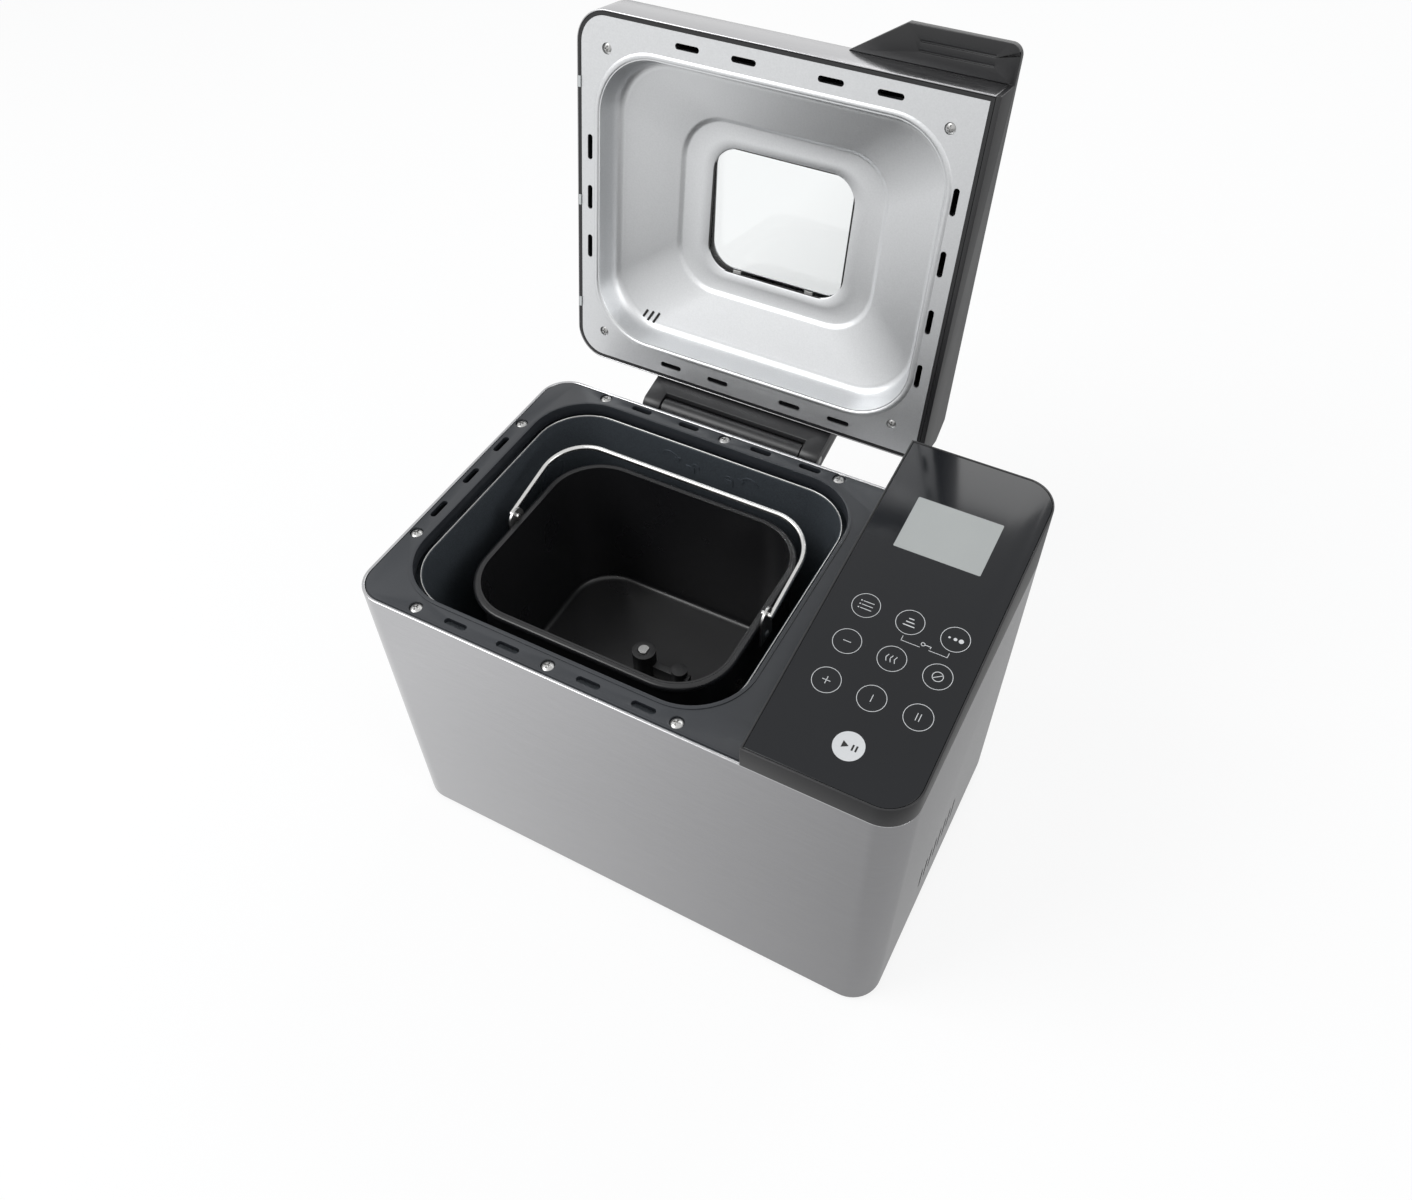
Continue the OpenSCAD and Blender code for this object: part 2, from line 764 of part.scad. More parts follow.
module control_board() {
    color([0.14, 0.34, 0.18]) stand() on_panel(glass_t + board_drop + 1.6) {
        difference() {
            block(88, 204, 1.6, 4);
            for (p = panel_boss) translate([p[0], p[1], -1]) cylinder(r = 1.4, h = 4);
        }
        translate([keys_x, keys_y, 1.6 - skin]) block(key_pitch * 3 - 3, key_pitch * 4 - 3, board_drop - 1.4, 2);
    }
}

module display_module() {
    color([0.66, 0.68, 0.68]) stand() on_panel(glass_t + board_drop)
        translate([display_x, display_y, 0]) block(display_w - 1, display_d - 1, board_drop - 0.1, 1);
}

module board_screws() {
    color("gainsboro") stand() {
        on_panel(glass_t + board_drop + 1.6) for (p = panel_boss) translate([p[0], p[1], 0])
            rotate([180, 0, 0]) screw(2.8, 1.25, 7);
        for (p = board_post) translate([p[0], p[1], board_under]) rotate([180, 0, 0]) screw(3, 1.55, 8);
    }
}

gland_x = body_w / 2 - 60;
gland_z = 30;
gland_r = 8;

module cord_gland() {
    color([0.1, 0.1, 0.1]) stand() translate([gland_x, rear_y, gland_z]) rotate([90, 0, 0]) difference() {
        union() {
            translate([0, 0, -3]) cylinder(r = gland_r + 3, h = 3);
            cylinder(r = gland_r, h = 9);
        }
        translate([0, 0, -4]) cylinder(r = 3.8, h = 16);
    }
}

// ---------- hinge ----------

base_in = 1.2;
barrel_x0 = arm_x[0] + arm_w / 2 + base_in;
barrel_x1 = arm_x[1] - arm_w / 2 - base_in;
web_pitch = (barrel_x1 - barrel_x0) / 5;
hinge_low = hinge_z - 34;
hinge_screw_x = [barrel_x0 + 14, barrel_x1 - 14];
hinge_screw_z = [hinge_z - 26];

// Backplate on the steel with a long barrel, ribbed to it, between the lid's two arms
module hinge_base() {
    color([0.09, 0.09, 0.10]) stand() difference() {
        union() {
            translate([barrel_x0, rear_y, hinge_low]) cube([barrel_x1 - barrel_x0, 5, hinge_z + 2 - hinge_low]);
            translate([barrel_x0, hinge_y, hinge_z]) rotate([0, 90, 0])
                cylinder(r = arm_r - 1, h = barrel_x1 - barrel_x0);
            translate([barrel_x0, rear_y + 4, hinge_z - 3]) cube([barrel_x1 - barrel_x0, hinge_back - 4, 6]);
            for (k = [0:5]) translate([barrel_x0 + k * (barrel_x1 - barrel_x0 - 4) / 5, rear_y + 4, hinge_z - 18])
                cube([4, hinge_back - 6, 18]);
        }
        for (x = [barrel_x0 - 1, barrel_x1 - 19]) translate([x, hinge_y, hinge_z]) rotate([0, 90, 0])
            cylinder(r = pin_r + bush_fit, h = 20);
        for (x = hinge_screw_x, z = hinge_screw_z) translate([x, rear_y - 1, z]) rotate([-90, 0, 0])
            cylinder(r = 2.1, h = 8);
    }
}

module hinge_screws() {
    color("gainsboro") stand() for (x = hinge_screw_x, z = hinge_screw_z) translate([x, rear_y + 5, z])
        rotate([-90, 0, 0]) screw(3.6, 2, 9);
}

module hinge_pins() {
    color("silver") stand() for (x = [arm_x[0] - arm_w / 2, barrel_x1 - 17]) translate([x, hinge_y, hinge_z])
        rotate([0, 90, 0]) cylinder(r = pin_r, h = arm_w + base_in + 17);
}

// Side outline of an arm: from round the pin up to the lid's rear wall
module arm_outline() {
    hull() {
        translate([hinge_y, hinge_z]) circle(arm_r);
        translate([rear_y + 0.02, lid_z + 4]) square([5, 26]);
    }
}

// One casting: two arms from the lid's rear wall down to the pins, with a web between them
module hinge_arms() {
    color([0.09, 0.09, 0.10]) on_lid() difference() {
        union() {
            for (x = arm_x) translate([x - arm_w / 2, 0, 0]) rotate([90, 0, 90]) linear_extrude(arm_w)
                arm_outline();
            difference() {
                translate([arm_x[0], 0, 0]) rotate([90, 0, 90]) linear_extrude(arm_x[1] - arm_x[0])
                    arm_outline();
                translate([barrel_x0 - base_in, hinge_y, hinge_z]) rotate([0, 90, 0])
                    cylinder(r = arm_r - 1 + move_gap, h = barrel_x1 - barrel_x0 + 2 * base_in);
                translate([barrel_x0 - base_in, rear_y - 1, hinge_z - 20])
                    cube([barrel_x1 - barrel_x0 + 2 * base_in, 60, 20 + 3.6]);
                for (k = [0:4]) translate([barrel_x0 + web_pitch * k + 3, rear_y + 4, lid_z + 2])
                    cube([web_pitch - 3, 30, 40]);
            }
        }
        for (x = arm_x) {
            translate([x - arm_w / 2 - 1, hinge_y, hinge_z]) rotate([0, 90, 0])
                cylinder(r = pin_r + run_fit, h = arm_w + 2);
            translate([x - arm_w / 2 + 3, rear_y + 5, lid_z + 8]) cube([arm_w - 6, 12, 14]);
        }
    }
}

// ---------- lid, drawn closed ----------

// Everything before the chamfer along the lid's rear top edge
module before_chamfer(inset) {
    translate([0, rear_y, lid_z + lid_rear - lid_chamfer - inset * sqrt(2)]) rotate([-45, 0, 0])
        translate([-big / 2, -big / 2, -big]) cube(big);
}

module lid_block(inset, drop, right) {
    intersection() {
        translate([0, 0, lid_z]) linear_extrude(lid_rear + 30) outline_left_of(right, inset);
        below_slope(lid_z, lid_front - drop, lid_slope);
        before_chamfer(inset);
    }
}

module at_window(z) {
    translate([window_x, window_y, z]) children();
}

module lid_cover() {
    color([0.80, 0.81, 0.82]) on_lid() difference() {
        lid_block(0, 0, lid_right - side_t);
        translate([0, 0, -skin]) lid_block(cover_t, cover_t, lid_right + big / 4);
        at_window(lid_z + 10) block(window_w, window_d, 60, 18);
    }
}

// Black right-hand wall of the lid, in one piece with the handle's plate
module handle_outline() {
    tip_y = front_y - handle_reach;
    difference() {
        polygon([
            [lid_right - handle_left, front_y], [lid_right - handle_left + handle_slant, tip_y],
            [lid_right, tip_y], [lid_right, front_y]
        ]);
        translate([lid_right - 7, tip_y]) square([8, 7]);
    }
    translate([lid_right - 7, tip_y + 7]) circle(7);
}

module lid_side_handle() {
    color([0.11, 0.12, 0.13]) on_lid() difference() {
        union() {
            intersection() {
                translate([lid_right - side_t, -body_d / 2, lid_z]) cube([side_t, body_d, lid_rear + 20]);
                below_slope(lid_z, lid_front, lid_slope);
                before_chamfer(0);
            }
            difference() {
                intersection() {
                    translate([0, 0, lid_z]) linear_extrude(60) handle_outline();
                    below_slope(lid_z, lid_front, lid_slope);
                }
                below_slope(lid_z, lid_front - handle_t, lid_slope);
            }
        }
        for (k = [0, 1]) intersection() {
            translate([lid_right - 60, front_y - 8.5 - 5.5 * k, lid_z]) cube([46, 1.2, lid_front]);
            below_slope(lid_z, lid_front - handle_t + 0.8, lid_slope);
        }
    }
}

frame_in = cover_t + 0.2;
liner_in = 3.4;
frame_t = 5;
lid_head_r = 3.4;
dimple_t = 2;

module lid_area(inset) {
    outline_left_of(lid_right - side_t - 0.2 - inset + frame_in, inset);
}

module liner_slots() {
    for (x = slot_x) for (y = [front_y + 12, rear_y - 11.5]) translate([x + 2.5, y, 0]) slot(lid_slot, 3.8, 20);
    for (y = [-35, 0, 36]) translate([left_x + 10.3, y, 0]) rotate(90) slot(lid_slot, 3.8, 20);
    for (y = [-59.5:39.5:60]) translate([lid_right - 14.2, y, 0]) rotate(90) slot(lid_slot, 3.8, 20);
}

// Moulded frame that holds the liner's flange in a step
module lid_frame() {
    color([0.10, 0.10, 0.11]) on_lid() translate([0, 0, lid_z]) difference() {
        union() {
            linear_extrude(frame_t) lid_area(frame_in);
            linear_extrude(frame_h) difference() {
                lid_area(frame_in);
                lid_area(frame_in + 2);
            }
        }
        translate([0, 0, -1]) linear_extrude(1 + liner_t) lid_area(liner_in);
        translate([lid_x, 0, -1]) block(recess_w + 3, recess_d + 3, 30, recess_r + 1.5);
        for (x = liner_screw_x, y = liner_screw_y) translate([x, y, -1]) {
            cylinder(r = 1.7, h = 20);
            cylinder(r = lid_head_r + liner_t + 0.4, h = 1 + dimple_t + liner_t);
        }
        translate([0, 0, -1]) liner_slots();
    }
}

module recess_stage(x, y, w, d, r, z) {
    translate([x, y, z]) linear_extrude(skin) rounded(w, d, r, $fn = 32);
}

module recess_form(grow) {
    translate([0, 0, -0.5]) linear_extrude(recess_wall + 0.5)
        rounded(recess_w + 2 * grow, recess_d + 2 * grow, recess_r + grow);
    hull() {
        recess_stage(0, 0, recess_w + 2 * grow, recess_d + 2 * grow, recess_r + grow, recess_wall - skin);
        recess_stage(window_x - lid_x, window_y, ring_w + 2 * grow, ring_d + 2 * grow, 30,
            pane_z - pane_t - 1.5);
    }
}

// Pressed liner: a flange, an upright wall, sloping faces and a flat ring round the window
module lid_liner() {
    color([0.78, 0.79, 0.80]) on_lid() translate([0, 0, lid_z]) difference() {
        union() {
            linear_extrude(liner_t) lid_area(liner_in + 0.2);
            translate([lid_x, 0, 0]) difference() {
                recess_form(0);
                translate([0, 0, -big + 0.2]) linear_extrude(big - 0.2) square(big, center = true);
            }
            at_window(pane_z - pane_t - 2.6) block(ring_w, ring_d, 1.1 + 0.5, 30);
            for (x = liner_screw_x, y = liner_screw_y) translate([x, y, 0])
                cylinder(r = lid_head_r + liner_t + 0.2, h = dimple_t + liner_t);
        }
        translate([lid_x, 0, -liner_t]) recess_form(-liner_t);
        at_window(5) block(window_w, window_d, 60, 18);
        for (x = liner_screw_x, y = liner_screw_y) translate([x, y, -1]) {
            cylinder(r = 1.7, h = 9);
            cylinder(r = lid_head_r + 0.2, h = 1 + dimple_t);
        }
        translate([0, 0, -1]) liner_slots();
    }
}

module lid_screws() {
    color("gainsboro") on_lid() for (x = liner_screw_x, y = liner_screw_y) translate([x, y, lid_z + dimple_t])
        rotate([180, 0, 0]) screw(lid_head_r, 1.65, 8);
}

module lid_bumpers() {
    color([0.85, 0.86, 0.86]) on_lid() for (y = [-80, 0, 78]) translate([left_x + 1.4, y, lid_z - 1])
        cube([1.8, 7, 1]);
}

// ---------- window ----------

module window_gasket() {
    color([0.2, 0.2, 0.2]) on_lid() at_window(lid_z + pane_z - pane_t - 1)
        ring_wall(window_w + 16, window_d + 16, 1, 22, 10);
}

module window_inner_glass() {
    color([0.75, 0.82, 0.84, 0.4]) on_lid() at_window(lid_z + pane_z - pane_t)
        block(window_w + 14, window_d + 14, pane_t, 20);
}

module window_outer_glass() {
    color([0.75, 0.82, 0.84, 0.4]) on_lid() difference() {
        intersection() {
            at_window(lid_z) block(window_w + 14, window_d + 14, 60, 20);
            below_slope(lid_z, lid_front - cover_t - 2 * skin, lid_slope);
        }
        below_slope(lid_z, lid_front - cover_t - outer_pane_t, lid_slope);
    }
}

module window_clips() {
    color("silver") on_lid() for (x = [-28, 28]) translate([window_x + x - 3, window_y + window_d / 2 - 4, lid_z + pane_z - pane_t - 1])
        cube([6, 2, 1]);
}

// ---------- pan ----------

module pan_shell() {
    color([0.12, 0.12, 0.13]) stand() at_oven(0) difference() {
        union() {
            translate([0, 0, pan_floor]) block(pan_wall_w, pan_wall_d, pan_top - pan_floor, pan_r - pan_rim);
            translate([0, 0, pan_top - rim_h]) block(pan_w, pan_d, rim_h, pan_r);
        }
        translate([0, 0, pan_floor + pan_t]) block(pan_wall_w - 2 * pan_t, pan_wall_d - 2 * pan_t,
            body_h, pan_r - pan_rim - pan_t);
        translate([0, 0, pan_floor - 1]) cylinder(r = 9.02, h = 5);
    }
}

ear_z = pan_top + 3.5;
ear_x = pan_w / 2 + 1.6;

module pan_ears() {
    color("silver") stand() at_oven(0) for (s = [-1, 1]) difference() {
        union() {
            translate([s * (pan_w / 2 + 0.8) - 0.8, -8, pan_top - 22]) cube([1.6, 16, 22]);
            translate([s * (pan_w / 2 + 0.8), 0, ear_z - 3.5]) rotate([0, 90, 0])
                translate([0, 0, -0.8]) cylinder(r = 8, h = 1.6);
        }
        translate([s * (pan_w / 2 + 0.8), 0, ear_z]) rotate([0, 90, 0])
            translate([0, 0, -4]) cylinder(r = bail_r + 0.3, h = 8);
    }
}

module pan_rivets() {
    color("gainsboro") stand() at_oven(pan_top - 16) for (s = [-1, 1])
        translate([s * (pan_w / 2 + 1.6), 0, 0]) rotate([0, 90 * s, 0]) intersection() {
            cylinder(r = 3.2, h = 1.6);
            translate([0, 0, -2.4]) sphere(4);
        }
}

module pan_base_ring() {
    color("silver") stand() at_oven(0) difference() {
        translate([0, 0, chamber_z + chamber_t + 1.5]) cylinder(r = ring_r, h = pan_floor - chamber_z - chamber_t - 1.5);
        translate([0, 0, chamber_z]) cylinder(r = ring_r - 1.5, h = 40);
    }
}

module pan_bush() {
    color("gainsboro") stand() at_oven(0) difference() {
        union() {
            translate([0, 0, pan_floor - 4]) cylinder(r = 9, h = 8);
            translate([0, 0, pan_floor - 2]) cylinder(r = 14, h = 2);
        }
        translate([0, 0, pan_floor - 6]) cylinder(r = shaft_r + run_fit, h = 14);
    }
}

module pan_shaft() {
    color("silver") stand() at_oven(0) {
        difference() {
            translate([0, 0, coupler_z + 4]) cylinder(r = shaft_r, h = pan_floor + 30 - coupler_z - 4);
            translate([shaft_r - 1, -10, paddle_z - 0.5]) cube([10, 20, 60]);
        }
    }
}

module pan_coupler() {
    color("gray") stand() at_oven(coupler_z + 4) difference() {
        union() {
            cylinder(r = 5.4, h = 6);
            translate([-coupler_r + 1, -3.5, 0]) cube([2 * coupler_r - 2, 7, 5]);
        }
        translate([0, 0, -1]) cylinder(r = shaft_r, h = 10);
    }
}

// Bail: two wire arms, rounded corners and a straight grip, with hooked pivots
bail_out = ear_x + 2.6;
bail_bend = 32;

module bail_flat() {
    for (s = [-1, 1]) {
        translate([s * bail_out, 0, 0]) rotate([-90, 0, 0]) cylinder(r = bail_r, h = bail_reach - bail_bend);
        translate([s * bail_out, 0, 0]) sphere(bail_r);
        translate([s * bail_out, 0, 0]) rotate([0, -90 * s, 0]) cylinder(r = bail_r, h = 6.5);
        translate([s * (bail_out - bail_bend), bail_reach - bail_bend, 0]) rotate(s > 0 ? 0 : 90)
            rotate_extrude(angle = 90) translate([bail_bend, 0]) circle(bail_r);
    }
    translate([-bail_out + bail_bend, bail_reach, 0]) rotate([0, 90, 0])
        cylinder(r = bail_r, h = 2 * (bail_out - bail_bend));
}

module bail_wire() {
    color("gainsboro") stand() at_oven(ear_z) rotate([bail_lean, 0, 0]) bail_flat();
}

paddle_z = pan_floor + 5;

module kneading_paddle() {
    color([0.14, 0.14, 0.15]) stand() at_oven(paddle_z) difference() {
        union() {
            cylinder(r = 9, h = 24);
            translate([0, -3, 0]) cube([paddle_reach, 6, 12]);
            translate([paddle_reach - 8, 0, 0]) cylinder(r = 6, h = 18);
        }
        difference() {
            translate([0, 0, -1]) cylinder(r = shaft_r + 0.1, h = 27.5);
            translate([shaft_r - 0.9, -10, -2]) cube([10, 20, 40]);
        }
    }
}

steel_wrap();
base_tray();
feet();
base_screws();
deck_frame();
deck_screws();
oven_chamber();
heating_element();
element_clips();
element_bushes();
temperature_probe();
pan_socket();
drive_plate();
plate_posts();
bearing_housing();
shaft_bushes();
output_shaft();
shaft_clip();
driven_pulley();
drive_coupler();
drive_belt();
motor_body();
motor_screws();
motor_shaft();
motor_pulley();
run_capacitor();
power_board();
board_transformer();
board_relays();
board_cans();
panel_housing();
panel_glass();
control_board();
display_module();
board_screws();
cord_gland();
hinge_base();
hinge_screws();
hinge_pins();
hinge_arms();
lid_cover();
lid_side_handle();
lid_frame();
lid_liner();
lid_screws();
lid_bumpers();
window_gasket();
window_inner_glass();
window_outer_glass();
window_clips();
pan_shell();
pan_ears();
pan_rivets();
pan_base_ring();
pan_bush();
pan_shaft();
pan_coupler();
bail_wire();
kneading_paddle();
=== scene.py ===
"""Bread machine: finishes, shaped skins, panel marks and a plain studio stage."""

import json
import math

import bmesh
import bpy
from mathutils import Matrix, Vector


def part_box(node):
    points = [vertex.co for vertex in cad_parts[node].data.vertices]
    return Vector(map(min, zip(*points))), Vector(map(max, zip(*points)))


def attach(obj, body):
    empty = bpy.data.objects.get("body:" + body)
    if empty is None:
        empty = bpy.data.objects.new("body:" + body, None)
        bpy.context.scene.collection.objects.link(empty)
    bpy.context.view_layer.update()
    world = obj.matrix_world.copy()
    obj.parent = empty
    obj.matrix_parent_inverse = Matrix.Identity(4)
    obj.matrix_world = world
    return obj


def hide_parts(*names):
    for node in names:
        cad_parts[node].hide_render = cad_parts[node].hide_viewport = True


bl_info = {
    "name": "Bread Machine",
    "version": (1, 0, 0),
    "blender": (4, 5, 0),
    "location": "View3D > Sidebar > Bread Machine",
    "description": "Builds the visible skins, marks and finishes of a bread machine",
    "category": "Add Mesh",
}

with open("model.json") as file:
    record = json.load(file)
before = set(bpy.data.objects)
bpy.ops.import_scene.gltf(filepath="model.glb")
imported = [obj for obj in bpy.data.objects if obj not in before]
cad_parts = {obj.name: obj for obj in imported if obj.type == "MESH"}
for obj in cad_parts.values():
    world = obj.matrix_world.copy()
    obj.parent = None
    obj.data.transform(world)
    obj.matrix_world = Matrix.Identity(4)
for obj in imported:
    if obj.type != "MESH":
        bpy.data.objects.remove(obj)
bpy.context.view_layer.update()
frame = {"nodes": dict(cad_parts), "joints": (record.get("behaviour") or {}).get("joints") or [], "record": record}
MM = 0.001


# ---------- places taken from the frame ----------


def middle(node):
    low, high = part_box(node)
    return (low + high) / 2


BODY_LOW, BODY_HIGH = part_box("steel_wrap")
BODY_X = middle("steel_wrap").x
BODY_Y = middle("steel_wrap").y
RIM_Z = BODY_HIGH.z
PAN_X = middle("pan_shell").x
LID_JOINT = next(j for j in frame["joints"] if j["name"] == "lid_hinge")
LID_OPEN = math.radians(-LID_JOINT["range_deg"][0])
HINGE = Vector(LID_JOINT["pos_m"])

# the pressed recess of the lid's liner, and the raised ring round its window
RECESS_WIDE, RECESS_DEEP, RECESS_ROUND = 246 * MM, 201 * MM, 42 * MM
RING_WIDE, RING_DEEP, RING_ROUND = 148, 120, 30  # mm
RING_X, RING_Y = PAN_X + 4.6 * MM, BODY_Y - 4.5 * MM
RECESS_WALL = (  # (inset, rise) in mm, from the flange's lip to the slope's foot
    (-3.2, 0.0), (-2.6, -0.45), (-1.6, -0.75), (-0.4, -0.6), (0.4, 0.1), (0.9, 1.5), (1.8, 6.0),
    (3.0, 12.0), (4.6, 16.5), (6.6, 18.8), (9.0, 19.6), (10.6, 19.9), (11.4, 20.3),
)
WINDOW_RING = (  # (growth, rise) in mm, from the slope's top to the window's edge
    (2.6, 24.2), (1.2, 24.9), (0.0, 25.9), (-1.6, 26.4), (-14.0, 26.6), (-21.2, 26.7), (-22.3, 27.3),
)

# the oven mouth's margins in the body: left, front, right and back
MOUTH_LEFT, MOUTH_FRONT, MOUTH_RIGHT, MOUTH_BACK = 17 * MM, 18.5 * MM, 122 * MM, 15 * MM

# the control panel: heights above the body's rim, depth, and the places of its marks, in mm
PANEL_FRONT_RISE, PANEL_BACK_RISE, PANEL_DEPTH = 17, 49, 247
KEY_COLUMNS = (116, 144, 172)
KEY_ROWS = (-7.7, -35.2, -64)
START_X, START_Y = 144.6, -97


def lid_matrix():
    """From the closed lid's place to the open lid's."""
    return Matrix.Translation(HINGE) @ Matrix.Rotation(-LID_OPEN, 4, "X") @ Matrix.Translation(-HINGE)


# ---------- settings ----------


class BREAD_PG_sizes(bpy.types.PropertyGroup):
    rim_round: bpy.props.FloatProperty(
        name="Rim Round", description="Rounding of the steel body's top edge",
        default=1.4 * MM, unit="LENGTH",
    )
    mark_rise: bpy.props.FloatProperty(
        name="Mark Rise", description="Height of the printed marks above the glass",
        default=0.06 * MM, unit="LENGTH",
    )
    key_radius: bpy.props.FloatProperty(
        name="Key Radius", description="Radius of a touch key's printed circle",
        default=8.7 * MM, unit="LENGTH",
    )
    key_line: bpy.props.FloatProperty(
        name="Key Line", description="Width of the printed lines",
        default=0.36 * MM, unit="LENGTH",
    )


class BREAD_PG_colours(bpy.types.PropertyGroup):
    steel: bpy.props.FloatVectorProperty(
        name="Steel", description="Brushed steel of the body and lid", subtype="COLOR", size=3,
        default=(0.47, 0.47, 0.48),
    )
    liner: bpy.props.FloatVectorProperty(
        name="Liner", description="Satin sheet inside the lid", subtype="COLOR", size=3,
        default=(0.66, 0.67, 0.68),
    )
    deck: bpy.props.FloatVectorProperty(
        name="Deck", description="Deck round the oven mouth", subtype="COLOR", size=3,
        default=(0.022, 0.025, 0.030),
    )
    black: bpy.props.FloatVectorProperty(
        name="Black", description="Black mouldings", subtype="COLOR", size=3,
        default=(0.012, 0.012, 0.013),
    )
    glass: bpy.props.FloatVectorProperty(
        name="Panel Glass", description="Control panel's glossy top", subtype="COLOR", size=3,
        default=(0.007, 0.008, 0.010),
    )
    chamber: bpy.props.FloatVectorProperty(
        name="Chamber", description="Coated walls of the oven", subtype="COLOR", size=3,
        default=(0.085, 0.098, 0.112),
    )
    coating: bpy.props.FloatVectorProperty(
        name="Coating", description="Non-stick coat of the pan", subtype="COLOR", size=3,
        default=(0.010, 0.010, 0.011),
    )
    print_white: bpy.props.FloatVectorProperty(
        name="Print", description="Printed marks on the panel", subtype="COLOR", size=3,
        default=(0.60, 0.61, 0.62),
    )
    display: bpy.props.FloatVectorProperty(
        name="Display", description="Unlit display", subtype="COLOR", size=3,
        default=(0.36, 0.375, 0.37),
    )


# ---------- finishes ----------


def start_finish(name, colour, rough, metal=0.0):
    mat = bpy.data.materials.new(name)
    mat.use_nodes = True
    shader = mat.node_tree.nodes["Principled BSDF"]
    shader.inputs["Base Color"].default_value = (*colour[:3], 1)
    shader.inputs["Roughness"].default_value = rough
    shader.inputs["Metallic"].default_value = metal
    return mat, mat.node_tree, shader


def grain(tree, scale, stretch=(1, 1, 1), detail=3.0):
    """Object-space noise, stretched along an axis for brushing."""
    coord = tree.nodes.new("ShaderNodeTexCoord")
    mapping = tree.nodes.new("ShaderNodeMapping")
    mapping.inputs["Scale"].default_value = stretch
    noise = tree.nodes.new("ShaderNodeTexNoise")
    noise.inputs["Scale"].default_value = scale
    noise.inputs["Detail"].default_value = detail
    tree.links.new(coord.outputs["Object"], mapping.inputs["Vector"])
    tree.links.new(mapping.outputs["Vector"], noise.inputs["Vector"])
    return noise


def spread(tree, noise, low, high):
    """Maps a noise to values from low to high."""
    node = tree.nodes.new("ShaderNodeMapRange")
    node.inputs["From Min"].default_value = 0.25
    node.inputs["From Max"].default_value = 0.75
    node.inputs["To Min"].default_value = low
    node.inputs["To Max"].default_value = high
    tree.links.new(noise.outputs["Fac"], node.inputs["Value"])
    return node


def vary_rough(tree, shader, noise, low, high):
    tree.links.new(spread(tree, noise, low, high).outputs["Result"], shader.inputs["Roughness"])


def tint(tree, noise, colour, low, high):
    """Varies a colour's brightness between two factors by a noise."""
    ramp = tree.nodes.new("ShaderNodeValToRGB")
    ramp.color_ramp.elements[0].position = 0.3
    ramp.color_ramp.elements[1].position = 0.7
    ramp.color_ramp.elements[0].color = (*[c * low for c in colour[:3]], 1)
    ramp.color_ramp.elements[1].color = (*[min(c * high, 1) for c in colour[:3]], 1)
    tree.links.new(noise.outputs["Fac"], ramp.inputs["Fac"])
    return ramp


def press_in(tree, shader, noise, strength, depth):
    bump = tree.nodes.new("ShaderNodeBump")
    bump.inputs["Strength"].default_value = strength
    bump.inputs["Distance"].default_value = depth
    tree.links.new(noise.outputs["Fac"], bump.inputs["Height"])
    tree.links.new(bump.outputs["Normal"], shader.inputs["Normal"])


def brushed(name, colour, rough=0.26, stretch=(2, 2, 60), scale=18.0, strength=0.12):
    mat, tree, shader = start_finish(name, colour, rough, 1.0)
    lines = grain(tree, scale, stretch, 4.0)
    vary_rough(tree, shader, lines, rough - 0.05, rough + 0.07)
    tree.links.new(tint(tree, lines, colour, 0.96, 1.04).outputs["Color"], shader.inputs["Base Color"])
    if strength:
        press_in(tree, shader, lines, strength, 0.00004)
    return mat


def moulded(name, colour, rough=0.42, scale=900.0, strength=0.10):
    mat, tree, shader = start_finish(name, colour, rough)
    fine = grain(tree, scale, detail=2.0)
    cloud = grain(tree, 14.0)
    vary_rough(tree, shader, cloud, rough - 0.04, rough + 0.05)
    tree.links.new(tint(tree, cloud, colour, 0.93, 1.07).outputs["Color"], shader.inputs["Base Color"])
    press_in(tree, shader, fine, strength, 0.00005)
    return mat


def coated(name, colour, rough=0.33, metal=0.0):
    mat, tree, shader = start_finish(name, colour, rough, metal)
    speck = grain(tree, 1400.0, detail=4.0)
    cloud = grain(tree, 22.0)
    vary_rough(tree, shader, cloud, rough - 0.05, rough + 0.07)
    tree.links.new(tint(tree, speck, colour, 0.8, 1.35).outputs["Color"], shader.inputs["Base Color"])
    press_in(tree, shader, speck, 0.15, 0.00006)
    return mat


def glossy(name, colour, rough=0.08):
    mat, tree, shader = start_finish(name, colour, rough)
    shader.inputs["Specular IOR Level"].default_value = 0.32
    cloud = grain(tree, 9.0)
    vary_rough(tree, shader, cloud, rough - 0.02, rough + 0.04)
    tree.links.new(tint(tree, cloud, colour, 0.92, 1.08).outputs["Color"], shader.inputs["Base Color"])
    return mat


def clear_glass(name):
    mat, tree, shader = start_finish(name, (0.97, 0.98, 0.98), 0.02)
    shader.inputs["Transmission Weight"].default_value = 1.0
    shader.inputs["IOR"].default_value = 1.45
    cloud = grain(tree, 8.0)
    tree.links.new(spread(tree, cloud, 0.0, 0.04).outputs["Result"], shader.inputs["Roughness"])
    return mat


